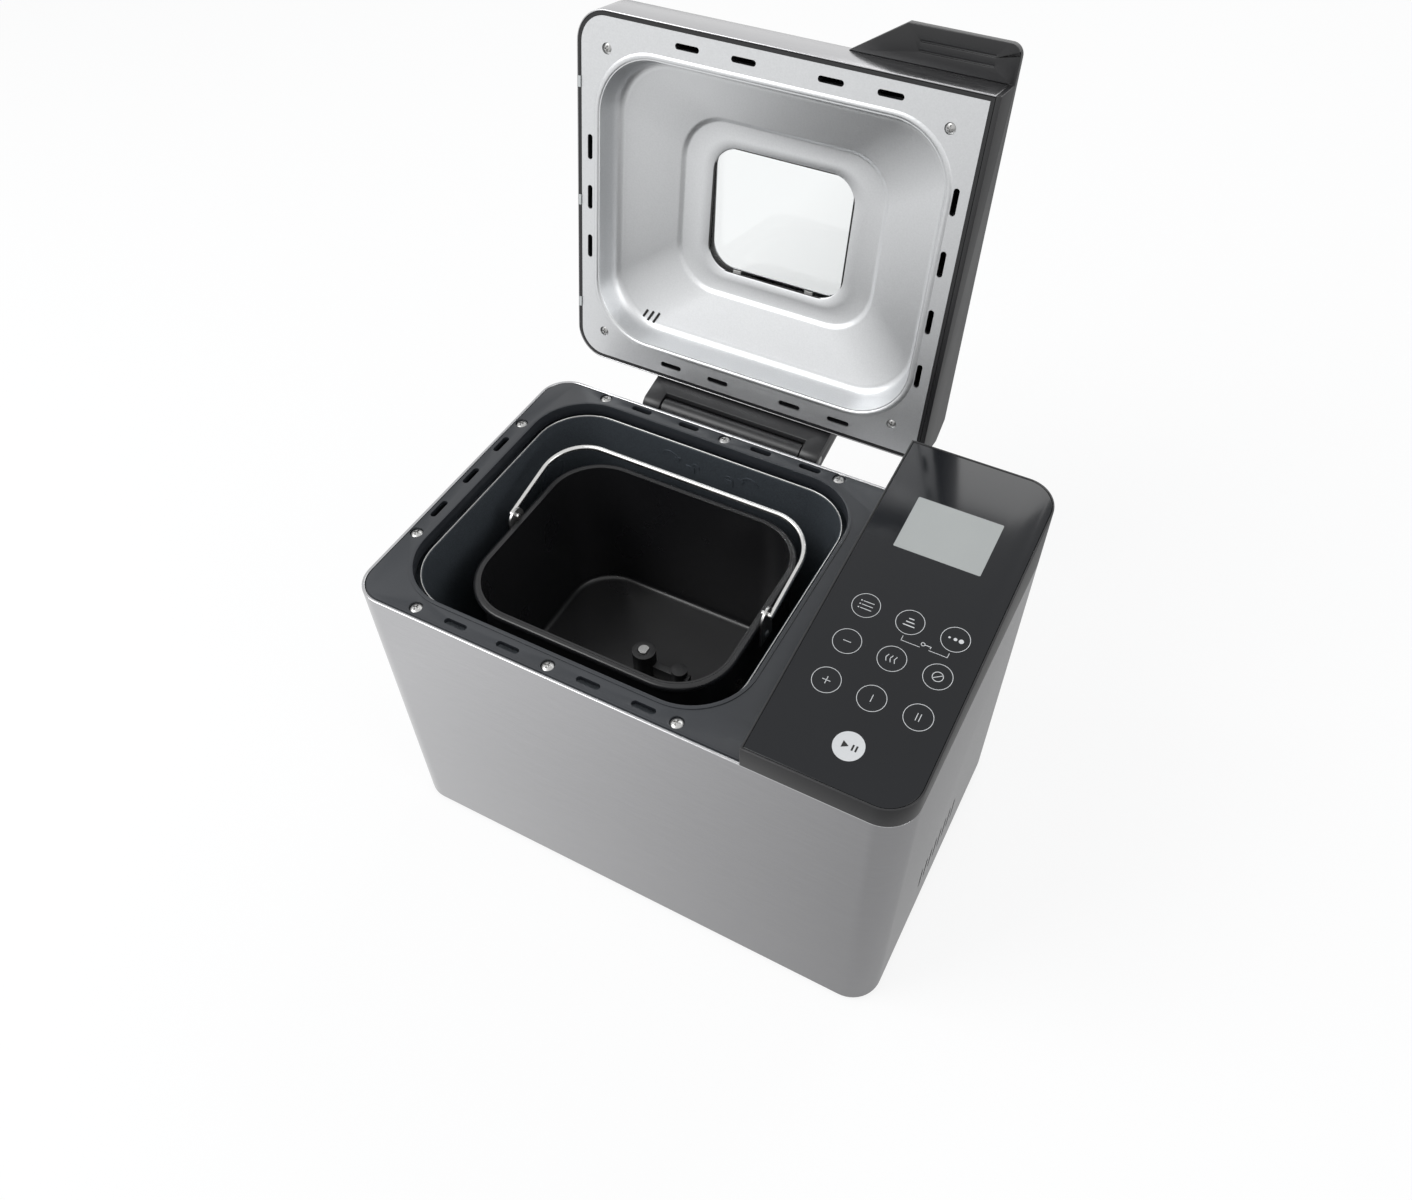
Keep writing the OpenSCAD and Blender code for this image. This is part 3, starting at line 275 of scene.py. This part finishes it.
def make_finishes(c):
    return {
        "stainless": brushed("Body Steel", c.steel, 0.17, (1, 1, 55), 60.0, 0.0),
        "lid_steel": brushed("Lid Steel", c.steel, 0.22, (1, 60, 60), 60.0, 0.0),
        "liner": brushed("Liner Sheet", c.liner, 0.42, (1, 1, 1), 900.0, 0.05),
        "deck_plastic": moulded("Deck Moulding", c.deck, 0.40),
        "black_plastic": moulded("Black Moulding", c.black, 0.34),
        "base_plastic": moulded("Base Moulding", (0.03, 0.03, 0.032), 0.55),
        "panel_gloss": glossy("Panel Gloss", c.glass, 0.10),
        "display": glossy("Display Pane", c.display, 0.2),
        "chamber_coat": coated("Chamber Coat", c.chamber, 0.30, 0.35),
        "pan_coat": coated("Non Stick Coat", c.coating, 0.30),
        "plated_steel": brushed("Plated Steel", (0.46, 0.46, 0.455), 0.34, (8, 8, 8), 60.0, 0.04),
        "plain_steel": brushed("Rolled Steel", (0.48, 0.48, 0.47), 0.34, (4, 30, 4), 40.0, 0.10),
        "element_sheath": brushed("Element Sheath", (0.23, 0.20, 0.18), 0.42, (3, 3, 3), 70.0, 0.12),
        "wire": brushed("Bail Wire", (0.62, 0.62, 0.61), 0.22, (40, 4, 4), 50.0, 0.04),
        "rubber": moulded("Rubber", (0.015, 0.015, 0.015), 0.6, 1200.0, 0.2),
        "clear_bumper": moulded("Clear Bumper", (0.55, 0.57, 0.57), 0.35, 500.0, 0.05),
        "bronze": brushed("Bronze", (0.52, 0.34, 0.16), 0.36, (5, 5, 5), 60.0, 0.08),
        "pulley_casting": coated("Pulley Casting", (0.50, 0.50, 0.49), 0.42, 0.8),
        "ceramic": moulded("Ceramic", (0.74, 0.70, 0.62), 0.6, 500.0, 0.2),
        "motor_case": coated("Cast Case", (0.36, 0.36, 0.37), 0.42, 0.8),
        "board": moulded("Board Lacquer", (0.02, 0.10, 0.045), 0.32, 300.0, 0.06),
        "component_case": moulded("Component Case", (0.06, 0.07, 0.09), 0.36, 500.0, 0.06),
        "capacitor_case": moulded("Capacitor Case", (0.62, 0.62, 0.58), 0.36, 500.0, 0.06),
        "window_glass": clear_glass("Window Glass"),
        "print": moulded("Panel Print", c.print_white, 0.45, 700.0, 0.02),
        # near-black finish: painted shade in the lid's slit openings, and the print colour of the start key's
        # symbol
        "slit_shade_and_print": moulded("Slit Shade And Print", (0.004, 0.004, 0.004), 0.7),
    }


FINISH = {}


def wear(obj, finish):
    obj.data.materials.clear()
    obj.data.materials.append(FINISH[finish])


# ---------- modelling helpers ----------


def pick_none():
    if bpy.context.object and bpy.context.object.mode != "OBJECT":
        bpy.ops.object.mode_set(mode="OBJECT")
    bpy.ops.object.select_all(action="DESELECT")


def pick(obj):
    pick_none()
    obj.select_set(True)
    bpy.context.view_layer.objects.active = obj


def edit(obj, faces=None, edges=None, verts=None):
    """Enters edit mode with only the elements that a test accepts."""
    pick(obj)
    bpy.ops.object.mode_set(mode="EDIT")
    mesh = bmesh.from_edit_mesh(obj.data)
    kind = "FACE" if faces else "EDGE" if edges else "VERT"
    bpy.ops.mesh.select_mode(type=kind)
    bpy.ops.mesh.select_all(action="DESELECT")
    mesh = bmesh.from_edit_mesh(obj.data)
    for item in {"FACE": mesh.faces, "EDGE": mesh.edges, "VERT": mesh.verts}[kind]:
        if (faces or edges or verts)(item):
            item.select_set(True)
    mesh.select_flush_mode()
    bmesh.update_edit_mesh(obj.data)


def leave_edit():
    bpy.ops.object.mode_set(mode="OBJECT")


def add_block(name, low, high):
    pick_none()
    low, high = Vector(low), Vector(high)
    bpy.ops.mesh.primitive_cube_add(size=1, location=(low + high) / 2)
    obj = bpy.context.object
    obj.name = name
    obj.scale = high - low
    bpy.ops.object.transform_apply(location=True, rotation=True, scale=True)
    return obj


def upright(edge):
    return abs((edge.verts[0].co - edge.verts[1].co).normalized().z) > 0.99


def level_at(z):
    return lambda e: all(abs(v.co.z - z) < 1e-6 for v in e.verts)


def round_edges(obj, test, radius, segments):
    edit(obj, edges=test)
    bpy.ops.mesh.bevel(offset=radius, segments=segments, affect="EDGES", clamp_overlap=True)
    leave_edit()


def apply_modifier(obj, kind, **values):
    pick(obj)
    mod = obj.modifiers.new(kind.title(), kind)
    for key, value in values.items():
        setattr(mod, key, value)
    bpy.ops.object.modifier_apply(modifier=mod.name)


def smooth(obj, angle=35):
    pick(obj)
    bpy.ops.object.shade_smooth_by_angle(angle=math.radians(angle))


def place(obj, matrix):
    """Puts a piece drawn flat at the origin in its place, with the place in its mesh."""
    pick(obj)
    obj.matrix_world = matrix
    bpy.ops.object.transform_apply(location=True, rotation=True, scale=True)


def join(name, parts):
    pick_none()
    for part in parts:
        part.select_set(True)
    bpy.context.view_layer.objects.active = parts[0]
    bpy.ops.object.join()
    parts[0].name = name
    return parts[0]


def settle(obj, body, slot, finish=None, stands_for=()):
    """Gives a finished piece its material, named by its finish or else by its record slot, and its body."""
    wear(obj, finish or slot)
    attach(obj, body)
    if stands_for:
        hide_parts(*stands_for)
    return obj


def shaped_copy(node, name, width, segments=3, angle=30, test=None):
    """A merged copy of a frame solid, with its sharp edges rounded."""
    source = frame["nodes"][node]
    obj = bpy.data.objects.new(name, source.data.copy())
    bpy.context.scene.collection.objects.link(obj)
    pick(obj)
    if obj.data.has_custom_normals:
        bpy.ops.mesh.customdata_custom_splitnormals_clear()
    bpy.ops.object.mode_set(mode="EDIT")
    bpy.ops.mesh.select_all(action="SELECT")
    bpy.ops.mesh.remove_doubles(threshold=2e-6)
    bpy.ops.mesh.dissolve_limited(angle_limit=math.radians(0.6))
    leave_edit()
    if test:
        least = math.radians(angle)
        edit(obj, edges=lambda e: len(e.link_faces) == 2 and e.calc_face_angle(0) > least and test(e))
        bpy.ops.mesh.bevel(offset=width, segments=segments, affect="EDGES", clamp_overlap=True)
        leave_edit()
    else:
        apply_modifier(
            obj, "BEVEL", width=width, segments=segments, limit_method="ANGLE",
            angle_limit=math.radians(angle), use_clamp_overlap=True, miter_outer="MITER_ARC",
        )
    smooth(obj, 40)
    return obj


# ---------- operators ----------


class BREAD_OT_finishes(bpy.types.Operator):
    """Make the finishes and put them on the frame's solids"""

    bl_idname = "bread.finishes"
    bl_label = "Finishes"

    def execute(self, context):
        FINISH.update(make_finishes(context.scene.bread_colours))
        for entry in frame["record"]["subparts"]:
            node = frame["nodes"][entry["node"]]
            wear(node, entry["material_slot"])
        return {"FINISHED"}


class BREAD_OT_body_skin(bpy.types.Operator):
    """Shape the steel wrap's rolled rim and the deck's soft edges"""

    bl_idname = "bread.body_skin"
    bl_label = "Body Skin"

    def execute(self, context):
        sizes = context.scene.bread_sizes

        def outer_rim(e):
            return all(abs(v.co.z - RIM_Z) < 1e-5 for v in e.verts)

        wrap = shaped_copy("steel_wrap", "wrap_skin", sizes.rim_round * 0.6, 4, 40, outer_rim)
        settle(wrap, "body", "stainless", stands_for=["steel_wrap"])
        deck = shaped_copy("deck_frame", "deck_skin", 0.35 * MM, 2, 40)
        settle(deck, "body", "deck_plastic", stands_for=["deck_frame"])
        settle(chamber_edge(), "body", "plain_steel")
        return {"FINISHED"}


def sharp_level(e):
    """Edges that lie flat and turn by more than about 50 degrees."""
    return not upright(e) and len(e.link_faces) == 2 and e.calc_face_angle(0) > 0.9


def rounded_band(name, low, high, radius, width, segments=14):
    """Flat-topped band whose outside is the rounded rectangle from low to high."""
    band = add_block(name, low, high)
    round_edges(band, upright, radius, segments)
    edit(band, faces=lambda f: abs(f.normal.z) > 0.9)
    bpy.ops.mesh.inset(thickness=width, depth=0)
    bpy.ops.mesh.bridge_edge_loops()
    leave_edit()
    return band


def chamber_edge():
    """Turned edge of the oven's sheet, just under the mouth."""
    inset, height, width, radius = 3.1 * MM, 2.4 * MM, 1.0 * MM, 39 * MM
    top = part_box("oven_chamber")[1].z + 0.9 * MM
    low = Vector((BODY_LOW.x + MOUTH_LEFT + inset, BODY_LOW.y + MOUTH_FRONT + inset, top - height))
    high = Vector((BODY_HIGH.x - MOUTH_RIGHT - inset, BODY_HIGH.y - MOUTH_BACK - inset, top))
    edge = rounded_band("chamber_edge", low, high, radius, width)
    round_edges(edge, sharp_level, 0.5 * MM, 3)
    smooth(edge, 50)
    return edge


class BREAD_OT_lid_skin(bpy.types.Operator):
    """Shape the lid's cover, pressed liner, side wall and hinge arms"""

    bl_idname = "bread.lid_skin"
    bl_label = "Lid Skin"

    def execute(self, context):
        for node, name, width, slot in (
            ("lid_cover", "lid_cover_skin", 0.45 * MM, "lid_steel"),
            ("lid_side_handle", "lid_handle_skin", 0.45 * MM, "black_plastic"),
            ("hinge_arms", "hinge_arm_skin", 0.8 * MM, "black_plastic"),
        ):
            settle(shaped_copy(node, name, width, 3, 35), "lid", slot, stands_for=[node])
        settle(pressed_liner(), "lid", "liner", stands_for=["lid_liner"])
        return {"FINISHED"}


def rounded_loop(x, y, width, depth, radius, z, segments=12):
    """A bare rounded-rectangle loop of edges, lying flat."""
    pick_none()
    bpy.ops.mesh.primitive_plane_add(size=1, location=(x, y, z))
    loop = bpy.context.object
    loop.scale = (width, depth, 1)
    bpy.ops.object.transform_apply(location=True, rotation=True, scale=True)
    edit(loop, verts=lambda v: True)
    bpy.ops.mesh.bevel(offset=radius, segments=segments, affect="VERTICES")
    bpy.ops.mesh.select_all(action="SELECT")
    bpy.ops.mesh.delete(type="ONLY_FACE")
    leave_edit()
    return loop


def loft(name, loops):
    """Bridges a chain of loops with as many points each, in order."""
    parts = [rounded_loop(*loop) for loop in loops]
    count = len(parts[0].data.vertices)
    skin = join(name, parts)
    for k in range(len(loops) - 1):
        edit(skin, verts=lambda v: k * count <= v.index < (k + 2) * count)
        bpy.ops.mesh.select_mode(type="EDGE")
        bpy.ops.mesh.bridge_edge_loops()
        leave_edit()
    pick(skin)
    bpy.ops.object.mode_set(mode="EDIT")
    bpy.ops.mesh.select_all(action="SELECT")
    bpy.ops.mesh.normals_make_consistent(inside=False)
    leave_edit()
    return skin


def pressed_liner():
    """Flange from the frame's solid, with the pressed recess lofted into it."""
    back = lid_matrix().inverted()
    flange = shaped_copy("lid_liner", "lid_liner_skin", 0.25 * MM, 2, 40, lambda e: False)
    flange.data.transform(back)
    lid_z = min(v.co.z for v in flange.data.vertices)
    x, y = PAN_X, BODY_Y

    def in_recess(v):
        return (abs(v.co.x - x) < RECESS_WIDE / 2 + 0.1 * MM
                and abs(v.co.y - y) < RECESS_DEEP / 2 + 0.1 * MM)

    def in_corner(v):
        past_x = max(abs(v.co.x - x) - (RECESS_WIDE / 2 - RECESS_ROUND), 0)
        past_y = max(abs(v.co.y - y) - (RECESS_DEEP / 2 - RECESS_ROUND), 0)
        return math.hypot(past_x, past_y) <= RECESS_ROUND + 0.05 * MM

    edit(flange, faces=lambda f: all(in_recess(v) and in_corner(v) for v in f.verts))
    bpy.ops.mesh.delete(type="FACE")
    leave_edit()
    chain = []
    for inset, rise in RECESS_WALL:
        i = inset * MM
        chain.append((x, y, RECESS_WIDE - 2 * i, RECESS_DEEP - 2 * i, RECESS_ROUND - i * 0.6,
                      lid_z + rise * MM))
    for grow, rise in WINDOW_RING:
        deep = RING_DEEP + 2 * grow * (0.75 if grow < 0 else 1)
        chain.append((RING_X, RING_Y, (RING_WIDE + 2 * grow) * MM, deep * MM,
                      (RING_ROUND + grow * 0.55) * MM, lid_z + rise * MM))
    pressed = loft("liner_recess", chain)
    apply_modifier(pressed, "SOLIDIFY", thickness=0.7 * MM, offset=1.0)
    liner = join("lid_liner_skin", [flange, pressed])
    place(liner, lid_matrix())
    smooth(liner, 42)
    return liner


class BREAD_OT_panel(bpy.types.Operator):
    """Shape the control panel and print its display and key marks"""

    bl_idname = "bread.panel"
    bl_label = "Control Panel"

    def execute(self, context):
        sizes = context.scene.bread_sizes
        settle(
            shaped_copy("panel_glass", "panel_glass_skin", 0.5 * MM, 3, 35), "body", "panel_gloss",
            stands_for=["panel_glass"],
        )
        settle(
            shaped_copy("panel_housing", "panel_housing_skin", 0.55 * MM, 3, 35), "body", "black_plastic",
            stands_for=["panel_housing"],
        )
        put = panel_matrix()
        marks = join("panel_marks", key_marks(sizes))
        place(marks, put @ Matrix.Translation((0, 0, sizes.mark_rise)))
        settle(marks, "body", "display", "print")
        start = start_key()
        place(start, put @ Matrix.Translation((0, 0, sizes.mark_rise)))
        settle(start, "body", "display", "print")
        symbol = join("start_symbol", start_marks())
        place(symbol, put @ Matrix.Translation((0, 0, sizes.mark_rise * 2)))
        settle(symbol, "body", "panel_gloss", "slit_shade_and_print")
        display = rounded_plate("display_face", 141, 61, 56, 42, 0.8)
        place(display, put @ Matrix.Translation((0, 0, sizes.mark_rise)))
        settle(display, "body", "display")
        return {"FINISHED"}


def panel_matrix():
    """From a flat drawing round the panel's middle, with z out of the glass, to its place."""
    slope = math.atan((PANEL_BACK_RISE - PANEL_FRONT_RISE) / PANEL_DEPTH)
    front = Vector((BODY_X, BODY_LOW.y, RIM_Z + PANEL_FRONT_RISE * MM))
    turn = Matrix.Rotation(slope, 4, "X")
    half = PANEL_DEPTH / 2 * MM / math.cos(slope)
    return Matrix.Translation(front) @ turn @ Matrix.Translation((0, half, 0))


def flat_ring(x, y, radius, line, steps=48):
    pick_none()
    bpy.ops.mesh.primitive_circle_add(vertices=steps, radius=radius, fill_type="NGON", location=(x, y, 0))
    ring = bpy.context.object
    bpy.ops.object.transform_apply(location=True, rotation=True, scale=True)
    edit(ring, faces=lambda f: True)
    bpy.ops.mesh.inset(thickness=line, depth=0)
    bpy.ops.mesh.delete(type="FACE")
    leave_edit()
    return ring


def flat_disc(x, y, radius, steps=32):
    pick_none()
    bpy.ops.mesh.primitive_circle_add(vertices=steps, radius=radius, fill_type="NGON", location=(x, y, 0))
    bpy.ops.object.transform_apply(location=True, rotation=True, scale=True)
    return bpy.context.object


def flat_bar(x, y, length, line, turn=0.0):
    pick_none()
    bpy.ops.mesh.primitive_plane_add(size=1, location=(x, y, 0), rotation=(0, 0, turn))
    bar = bpy.context.object
    bar.scale = (length, line, 1)
    bpy.ops.object.transform_apply(location=True, rotation=True, scale=True)
    return bar


def rounded_plate(name, x, y, width, depth, radius):
    pick_none()
    bpy.ops.mesh.primitive_plane_add(size=1, location=(x * MM, y * MM, 0))
    plate = bpy.context.object
    plate.name = name
    plate.scale = (width * MM, depth * MM, 1)
    bpy.ops.object.transform_apply(location=True, rotation=True, scale=True)
    edit(plate, verts=lambda v: True)
    bpy.ops.mesh.bevel(offset=radius * MM, segments=6, affect="VERTICES")
    leave_edit()
    return plate


def key_marks(sizes):
    """Ringed keys with plain signs, and the lock bracket between two of them."""
    left, mid, right = KEY_COLUMNS
    top, centre, low = KEY_ROWS
    r, line = sizes.key_radius, sizes.key_line
    marks = [flat_ring(x * MM, y * MM, r, line) for x in KEY_COLUMNS for y in KEY_ROWS]

    def bar(x, y, length, turn=0.0, width=0.45):
        marks.append(flat_bar(x * MM, y * MM, length * MM, width * MM, math.radians(turn)))

    def dot(x, y, radius):
        marks.append(flat_disc(x * MM, y * MM, radius * MM, 16))

    def ring(x, y, radius, width, steps):
        marks.append(flat_ring(x * MM, y * MM, radius * MM, width * MM, steps))

    # top row: a list, stacked bars and growing dots
    for k in (-1, 0, 1):
        bar(left + 0.8, top + 2.6 * k, 7)
        dot(left - 3.8, top + 2.6 * k, 0.45)
    for k, length in enumerate((3.2, 5.2, 7.2)):
        bar(mid, top + 2.4 - 2.5 * k, length, 0, 0.7)
    for k, radius in enumerate((0.7, 1.1, 1.5)):
        dot(right - 3.7 + 3.6 * k, top, radius)
    # middle row: a minus, three waves and a crossed ring
    bar(left, centre, 5)
    for k in (-1, 0, 1):
        bar(mid + 2.6 * k - 0.5, centre + 1.0, 2.6, 68)
        bar(mid + 2.6 * k - 0.5, centre - 1.4, 2.6, 112)
    ring(right, centre, 3.4, 0.45, 24)
    bar(right, centre, 6.8, 35)
    # bottom row: a plus, one stroke and two strokes
    bar(left, low, 5)
    for x in (left, mid, right - 1, right + 1):
        bar(x, low, 5, 90)
    # the bracket between two keys, with a small key sign in it
    bar(149.5, -21.2, 11.5, 0, 0.35)
    bar(166.5, -21.2, 11.5, 0, 0.35)
    bar(143.8, -19.6, 3.4, 90, 0.35)
    bar(172.2, -19.6, 3.4, 90, 0.35)
    ring(156.4, -18.6, 1.3, 0.4, 20)
    bar(159.6, -18.6, 4, 0, 0.45)
    bar(161.2, -19.2, 1.3, 90, 0.45)
    return marks


def start_key():
    disc = flat_disc(START_X * MM, START_Y * MM, 9.2 * MM, 64)
    disc.name = "start_key"
    return disc


def start_marks():
    """A play triangle and two pause strokes."""
    pick_none()
    bpy.ops.mesh.primitive_circle_add(
        vertices=3, radius=2.6 * MM, fill_type="NGON",
        location=((START_X - 2.6) * MM, START_Y * MM, 0), rotation=(0, 0, math.radians(-90)),
    )
    bpy.ops.object.transform_apply(location=True, rotation=True, scale=True)
    signs = [bpy.context.object]
    for shift in (2.4, 4.6):
        x = (START_X + shift) * MM
        signs.append(flat_bar(x, START_Y * MM, 3.8 * MM, 1.1 * MM, math.radians(90)))
    return signs


class BREAD_OT_pan(bpy.types.Operator):
    """Model the pan's drawn shell with its rolled rim, and soften the paddle"""

    bl_idname = "bread.pan"
    bl_label = "Pan and Paddle"

    def execute(self, context):
        low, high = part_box("pan_shell")
        rim, wall = 4 * MM, 1.4 * MM
        shell = add_block("pan_skin", low + Vector((rim, rim, 0)), high - Vector((rim, rim, 0)))
        round_edges(shell, upright, 38 * MM, 14)
        edit(shell, edges=level_at(low.z))
        bpy.ops.mesh.bevel(offset=6 * MM, segments=5, affect="EDGES")
        leave_edit()
        edit(shell, faces=lambda f: f.normal.z > 0.9 and abs(f.calc_center_median().z - high.z) < 1e-5)
        bpy.ops.mesh.delete(type="FACE")
        leave_edit()
        apply_modifier(shell, "SOLIDIFY", thickness=wall, offset=-1.0)
        rolled = add_block("pan_rim", (low.x, low.y, high.z - 5 * MM), (high.x, high.y, high.z))
        round_edges(rolled, upright, 42 * MM, 14)
        edit(rolled, faces=lambda f: abs(f.normal.z) > 0.9)
        bpy.ops.mesh.inset(thickness=rim + wall, depth=0)
        bpy.ops.mesh.bridge_edge_loops()
        leave_edit()
        round_edges(rolled, sharp_level, 2.2 * MM, 4)
        pan = join("pan_skin", [shell, rolled])
        smooth(pan, 50)
        settle(pan, "pan", "pan_coat", stands_for=["pan_shell"])
        paddle = shaped_copy("kneading_paddle", "paddle_skin", 1.6 * MM, 4, 35)
        settle(paddle, "paddle", "pan_coat", stands_for=["kneading_paddle"])
        return {"FINISHED"}


class BREAD_OT_lid_details(bpy.types.Operator):
    """Add the lid's small slits as flat near-black bars, with painted shade standing for their openings"""

    bl_idname = "bread.lid_details"
    bl_label = "Lid Details"

    def execute(self, context):
        pitch, length, line, lean = 5 * MM, 10 * MM, 1.8 * MM, math.radians(62)
        slits = [flat_bar(pitch * k, 0, length, line, lean) for k in (-1, 0, 1)]
        slit = join("lid_slits", slits)
        point, normal = under_lid("lid_liner_skin", -141 * MM, 88 * MM)
        right = (Vector((1, 0, 0)) - normal * normal.x).normalized()
        turn = Matrix((right, normal.cross(right), normal)).transposed().to_4x4()
        place(slit, Matrix.Translation(point + normal * 0.3 * MM) @ turn)
        # the bars wear the near-black finish: painted shade where the slits open into the lid
        settle(slit, "lid", "black_plastic", "slit_shade_and_print")
        return {"FINISHED"}


def under_lid(name, x, y):
    """Point and outward normal of a lid piece, looked up at from a place under the closed lid."""
    lid = lid_matrix()
    start = lid @ Vector((x, BODY_Y + y, HINGE.z - 40 * MM))
    aim = lid.to_3x3() @ Vector((0, 0, 1))
    _, point, normal, _ = bpy.data.objects[name].ray_cast(start, aim)
    return point, normal if normal.dot(aim) < 0 else -normal


FLOOR_GLOW = 0.84  # how far the seen floor is even white
LENS = 29.39
CAMERA_SHIFT = Vector((0.2495, -0.4387, 0.7958))  # from the body's middle on the floor
LAMPS = (  # name, place, size, watts
    ("key lamp", (-1.3, -1.1, 2.0), (1.4, 1.4), 34),
    ("side lamp", (1.9, -0.4, 1.2), (1.0, 1.6), 9),
    ("rear lamp", (0.2, 1.9, 1.8), (1.6, 0.8), 12),
)


def soft_lamp(name, place_at, aim, size, power):
    data = bpy.data.lights.new(name, "AREA")
    data.shape = "RECTANGLE"
    data.size, data.size_y = size
    data.energy = power
    lamp = bpy.data.objects.new(name, data)
    bpy.context.scene.collection.objects.link(lamp)
    lamp.location = place_at
    lamp.rotation_euler = (Vector(aim) - Vector(place_at)).to_track_quat("-Z", "Y").to_euler()


def reckon(tree, operation, *values):
    """Output of a maths node, with a socket or a number on each input."""
    node = tree.nodes.new("ShaderNodeMath")
    node.operation = operation
    for socket, value in zip(node.inputs, values):
        if isinstance(value, (int, float)):
            socket.default_value = value
        else:
            tree.links.new(value, socket)
    return node.outputs[0]


def seen_rays(tree):
    """1 for camera, glossy and transmission rays."""
    path = tree.nodes.new("ShaderNodeLightPath")
    first = reckon(tree, "MAXIMUM", path.outputs["Is Camera Ray"], path.outputs["Is Glossy Ray"])
    return reckon(tree, "MAXIMUM", first, path.outputs["Is Transmission Ray"])


class BREAD_OT_stage(bpy.types.Operator):
    """Set the floor, the lamps, the world and the camera"""

    bl_idname = "bread.stage"
    bl_label = "Stage"

    def execute(self, context):
        scene = context.scene
        pick_none()
        bpy.ops.mesh.primitive_plane_add(size=14, location=(0, 0, 0))
        floor = context.object
        floor.name = "floor"
        mat = bpy.data.materials.new("Floor")
        mat.use_nodes = True
        tree = mat.node_tree
        shader = tree.nodes["Principled BSDF"]
        shader.inputs["Base Color"].default_value = (0.9, 0.9, 0.9, 1)
        shader.inputs["Roughness"].default_value = 0.9
        glow = tree.nodes.new("ShaderNodeEmission")
        coord = tree.nodes.new("ShaderNodeTexCoord")
        split = tree.nodes.new("ShaderNodeSeparateXYZ")
        tree.links.new(coord.outputs["Object"], split.inputs[0])
        # painted reflection: for glossy rays the floor's glow is dimmed by up to 0.62 towards +x, so the metals
        # mirror a painted darker side
        painted_reflection_fade = tree.nodes.new("ShaderNodeMapRange")
        painted_reflection_fade.inputs["From Min"].default_value = -0.3
        painted_reflection_fade.inputs["From Max"].default_value = 0.2
        painted_reflection_fade.inputs["To Max"].default_value = 0.62
        tree.links.new(split.outputs["X"], painted_reflection_fade.inputs["Value"])
        path = tree.nodes.new("ShaderNodeLightPath")
        shade = reckon(tree, "MULTIPLY", painted_reflection_fade.outputs["Result"], path.outputs["Is Glossy Ray"])
        tree.links.new(reckon(tree, "SUBTRACT", 1.0, shade), glow.inputs["Strength"])
        mix = tree.nodes.new("ShaderNodeMixShader")
        share = reckon(tree, "MULTIPLY", seen_rays(tree), FLOOR_GLOW)
        tree.links.new(share, mix.inputs["Fac"])
        tree.links.new(shader.outputs[0], mix.inputs[1])
        tree.links.new(glow.outputs[0], mix.inputs[2])
        tree.links.new(mix.outputs[0], tree.nodes["Material Output"].inputs["Surface"])
        floor.data.materials.append(mat)

        world = scene.world or bpy.data.worlds.new("World")
        scene.world = world
        world.use_nodes = True
        tree = world.node_tree
        dim = tree.nodes["Background"]
        dim.inputs["Color"].default_value = (0.96, 0.98, 1.0, 1)
        dim.inputs["Strength"].default_value = 0.55
        bright = tree.nodes.new("ShaderNodeBackground")
        bright.inputs["Color"].default_value = (1, 1, 1, 1)
        bright.inputs["Strength"].default_value = 1.0
        mix = tree.nodes.new("ShaderNodeMixShader")
        tree.links.new(seen_rays(tree), mix.inputs["Fac"])
        tree.links.new(dim.outputs[0], mix.inputs[1])
        tree.links.new(bright.outputs[0], mix.inputs[2])
        tree.links.new(mix.outputs[0], tree.nodes["World Output"].inputs["Surface"])

        aim = (0, 0, 0.2)
        for name, place_at, size, power in LAMPS:
            soft_lamp(name, place_at, aim, size, power)

        data = bpy.data.cameras.new("camera")
        camera = bpy.data.objects.new("camera", data)
        scene.collection.objects.link(camera)
        data.sensor_fit = "HORIZONTAL"
        data.sensor_width = 36
        data.lens = LENS
        data.clip_start = 0.01
        right = Vector((0.8802, 0.4743, -0.0156))
        back = Vector((0.3189, -0.5668, 0.7596)).normalized()
        up = back.cross(right).normalized()
        right = up.cross(back).normalized()
        turn = Matrix((right, up, back)).transposed().to_4x4()
        camera.matrix_world = Matrix.Translation(Vector((BODY_X, BODY_Y, 0)) + CAMERA_SHIFT) @ turn
        scene.camera = camera
        scene.view_settings.view_transform = "Standard"
        return {"FINISHED"}


class BREAD_PT_panel(bpy.types.Panel):
    bl_label = "Bread Machine"
    bl_idname = "BREAD_PT_panel"
    bl_space_type = "VIEW_3D"
    bl_region_type = "UI"
    bl_category = "Bread Machine"

    def draw(self, context):
        for step in STEPS:
            self.layout.operator(step.bl_idname)


STEPS = (
    BREAD_OT_finishes,
    BREAD_OT_body_skin,
    BREAD_OT_lid_skin,
    BREAD_OT_lid_details,
    BREAD_OT_panel,
    BREAD_OT_pan,
    BREAD_OT_stage,
)
CLASSES = (BREAD_PG_sizes, BREAD_PG_colours, *STEPS, BREAD_PT_panel)


def register():
    for cls in CLASSES:
        bpy.utils.register_class(cls)
    bpy.types.Scene.bread_sizes = bpy.props.PointerProperty(type=BREAD_PG_sizes)
    bpy.types.Scene.bread_colours = bpy.props.PointerProperty(type=BREAD_PG_colours)


def unregister():
    del bpy.types.Scene.bread_colours
    del bpy.types.Scene.bread_sizes
    for cls in reversed(CLASSES):
        bpy.utils.unregister_class(cls)


def main():
    register()
    for step in STEPS:
        group, name = step.bl_idname.split(".")
        getattr(getattr(bpy.ops, group), name)()
    pick_none()


if __name__ == "__main__":
    main()
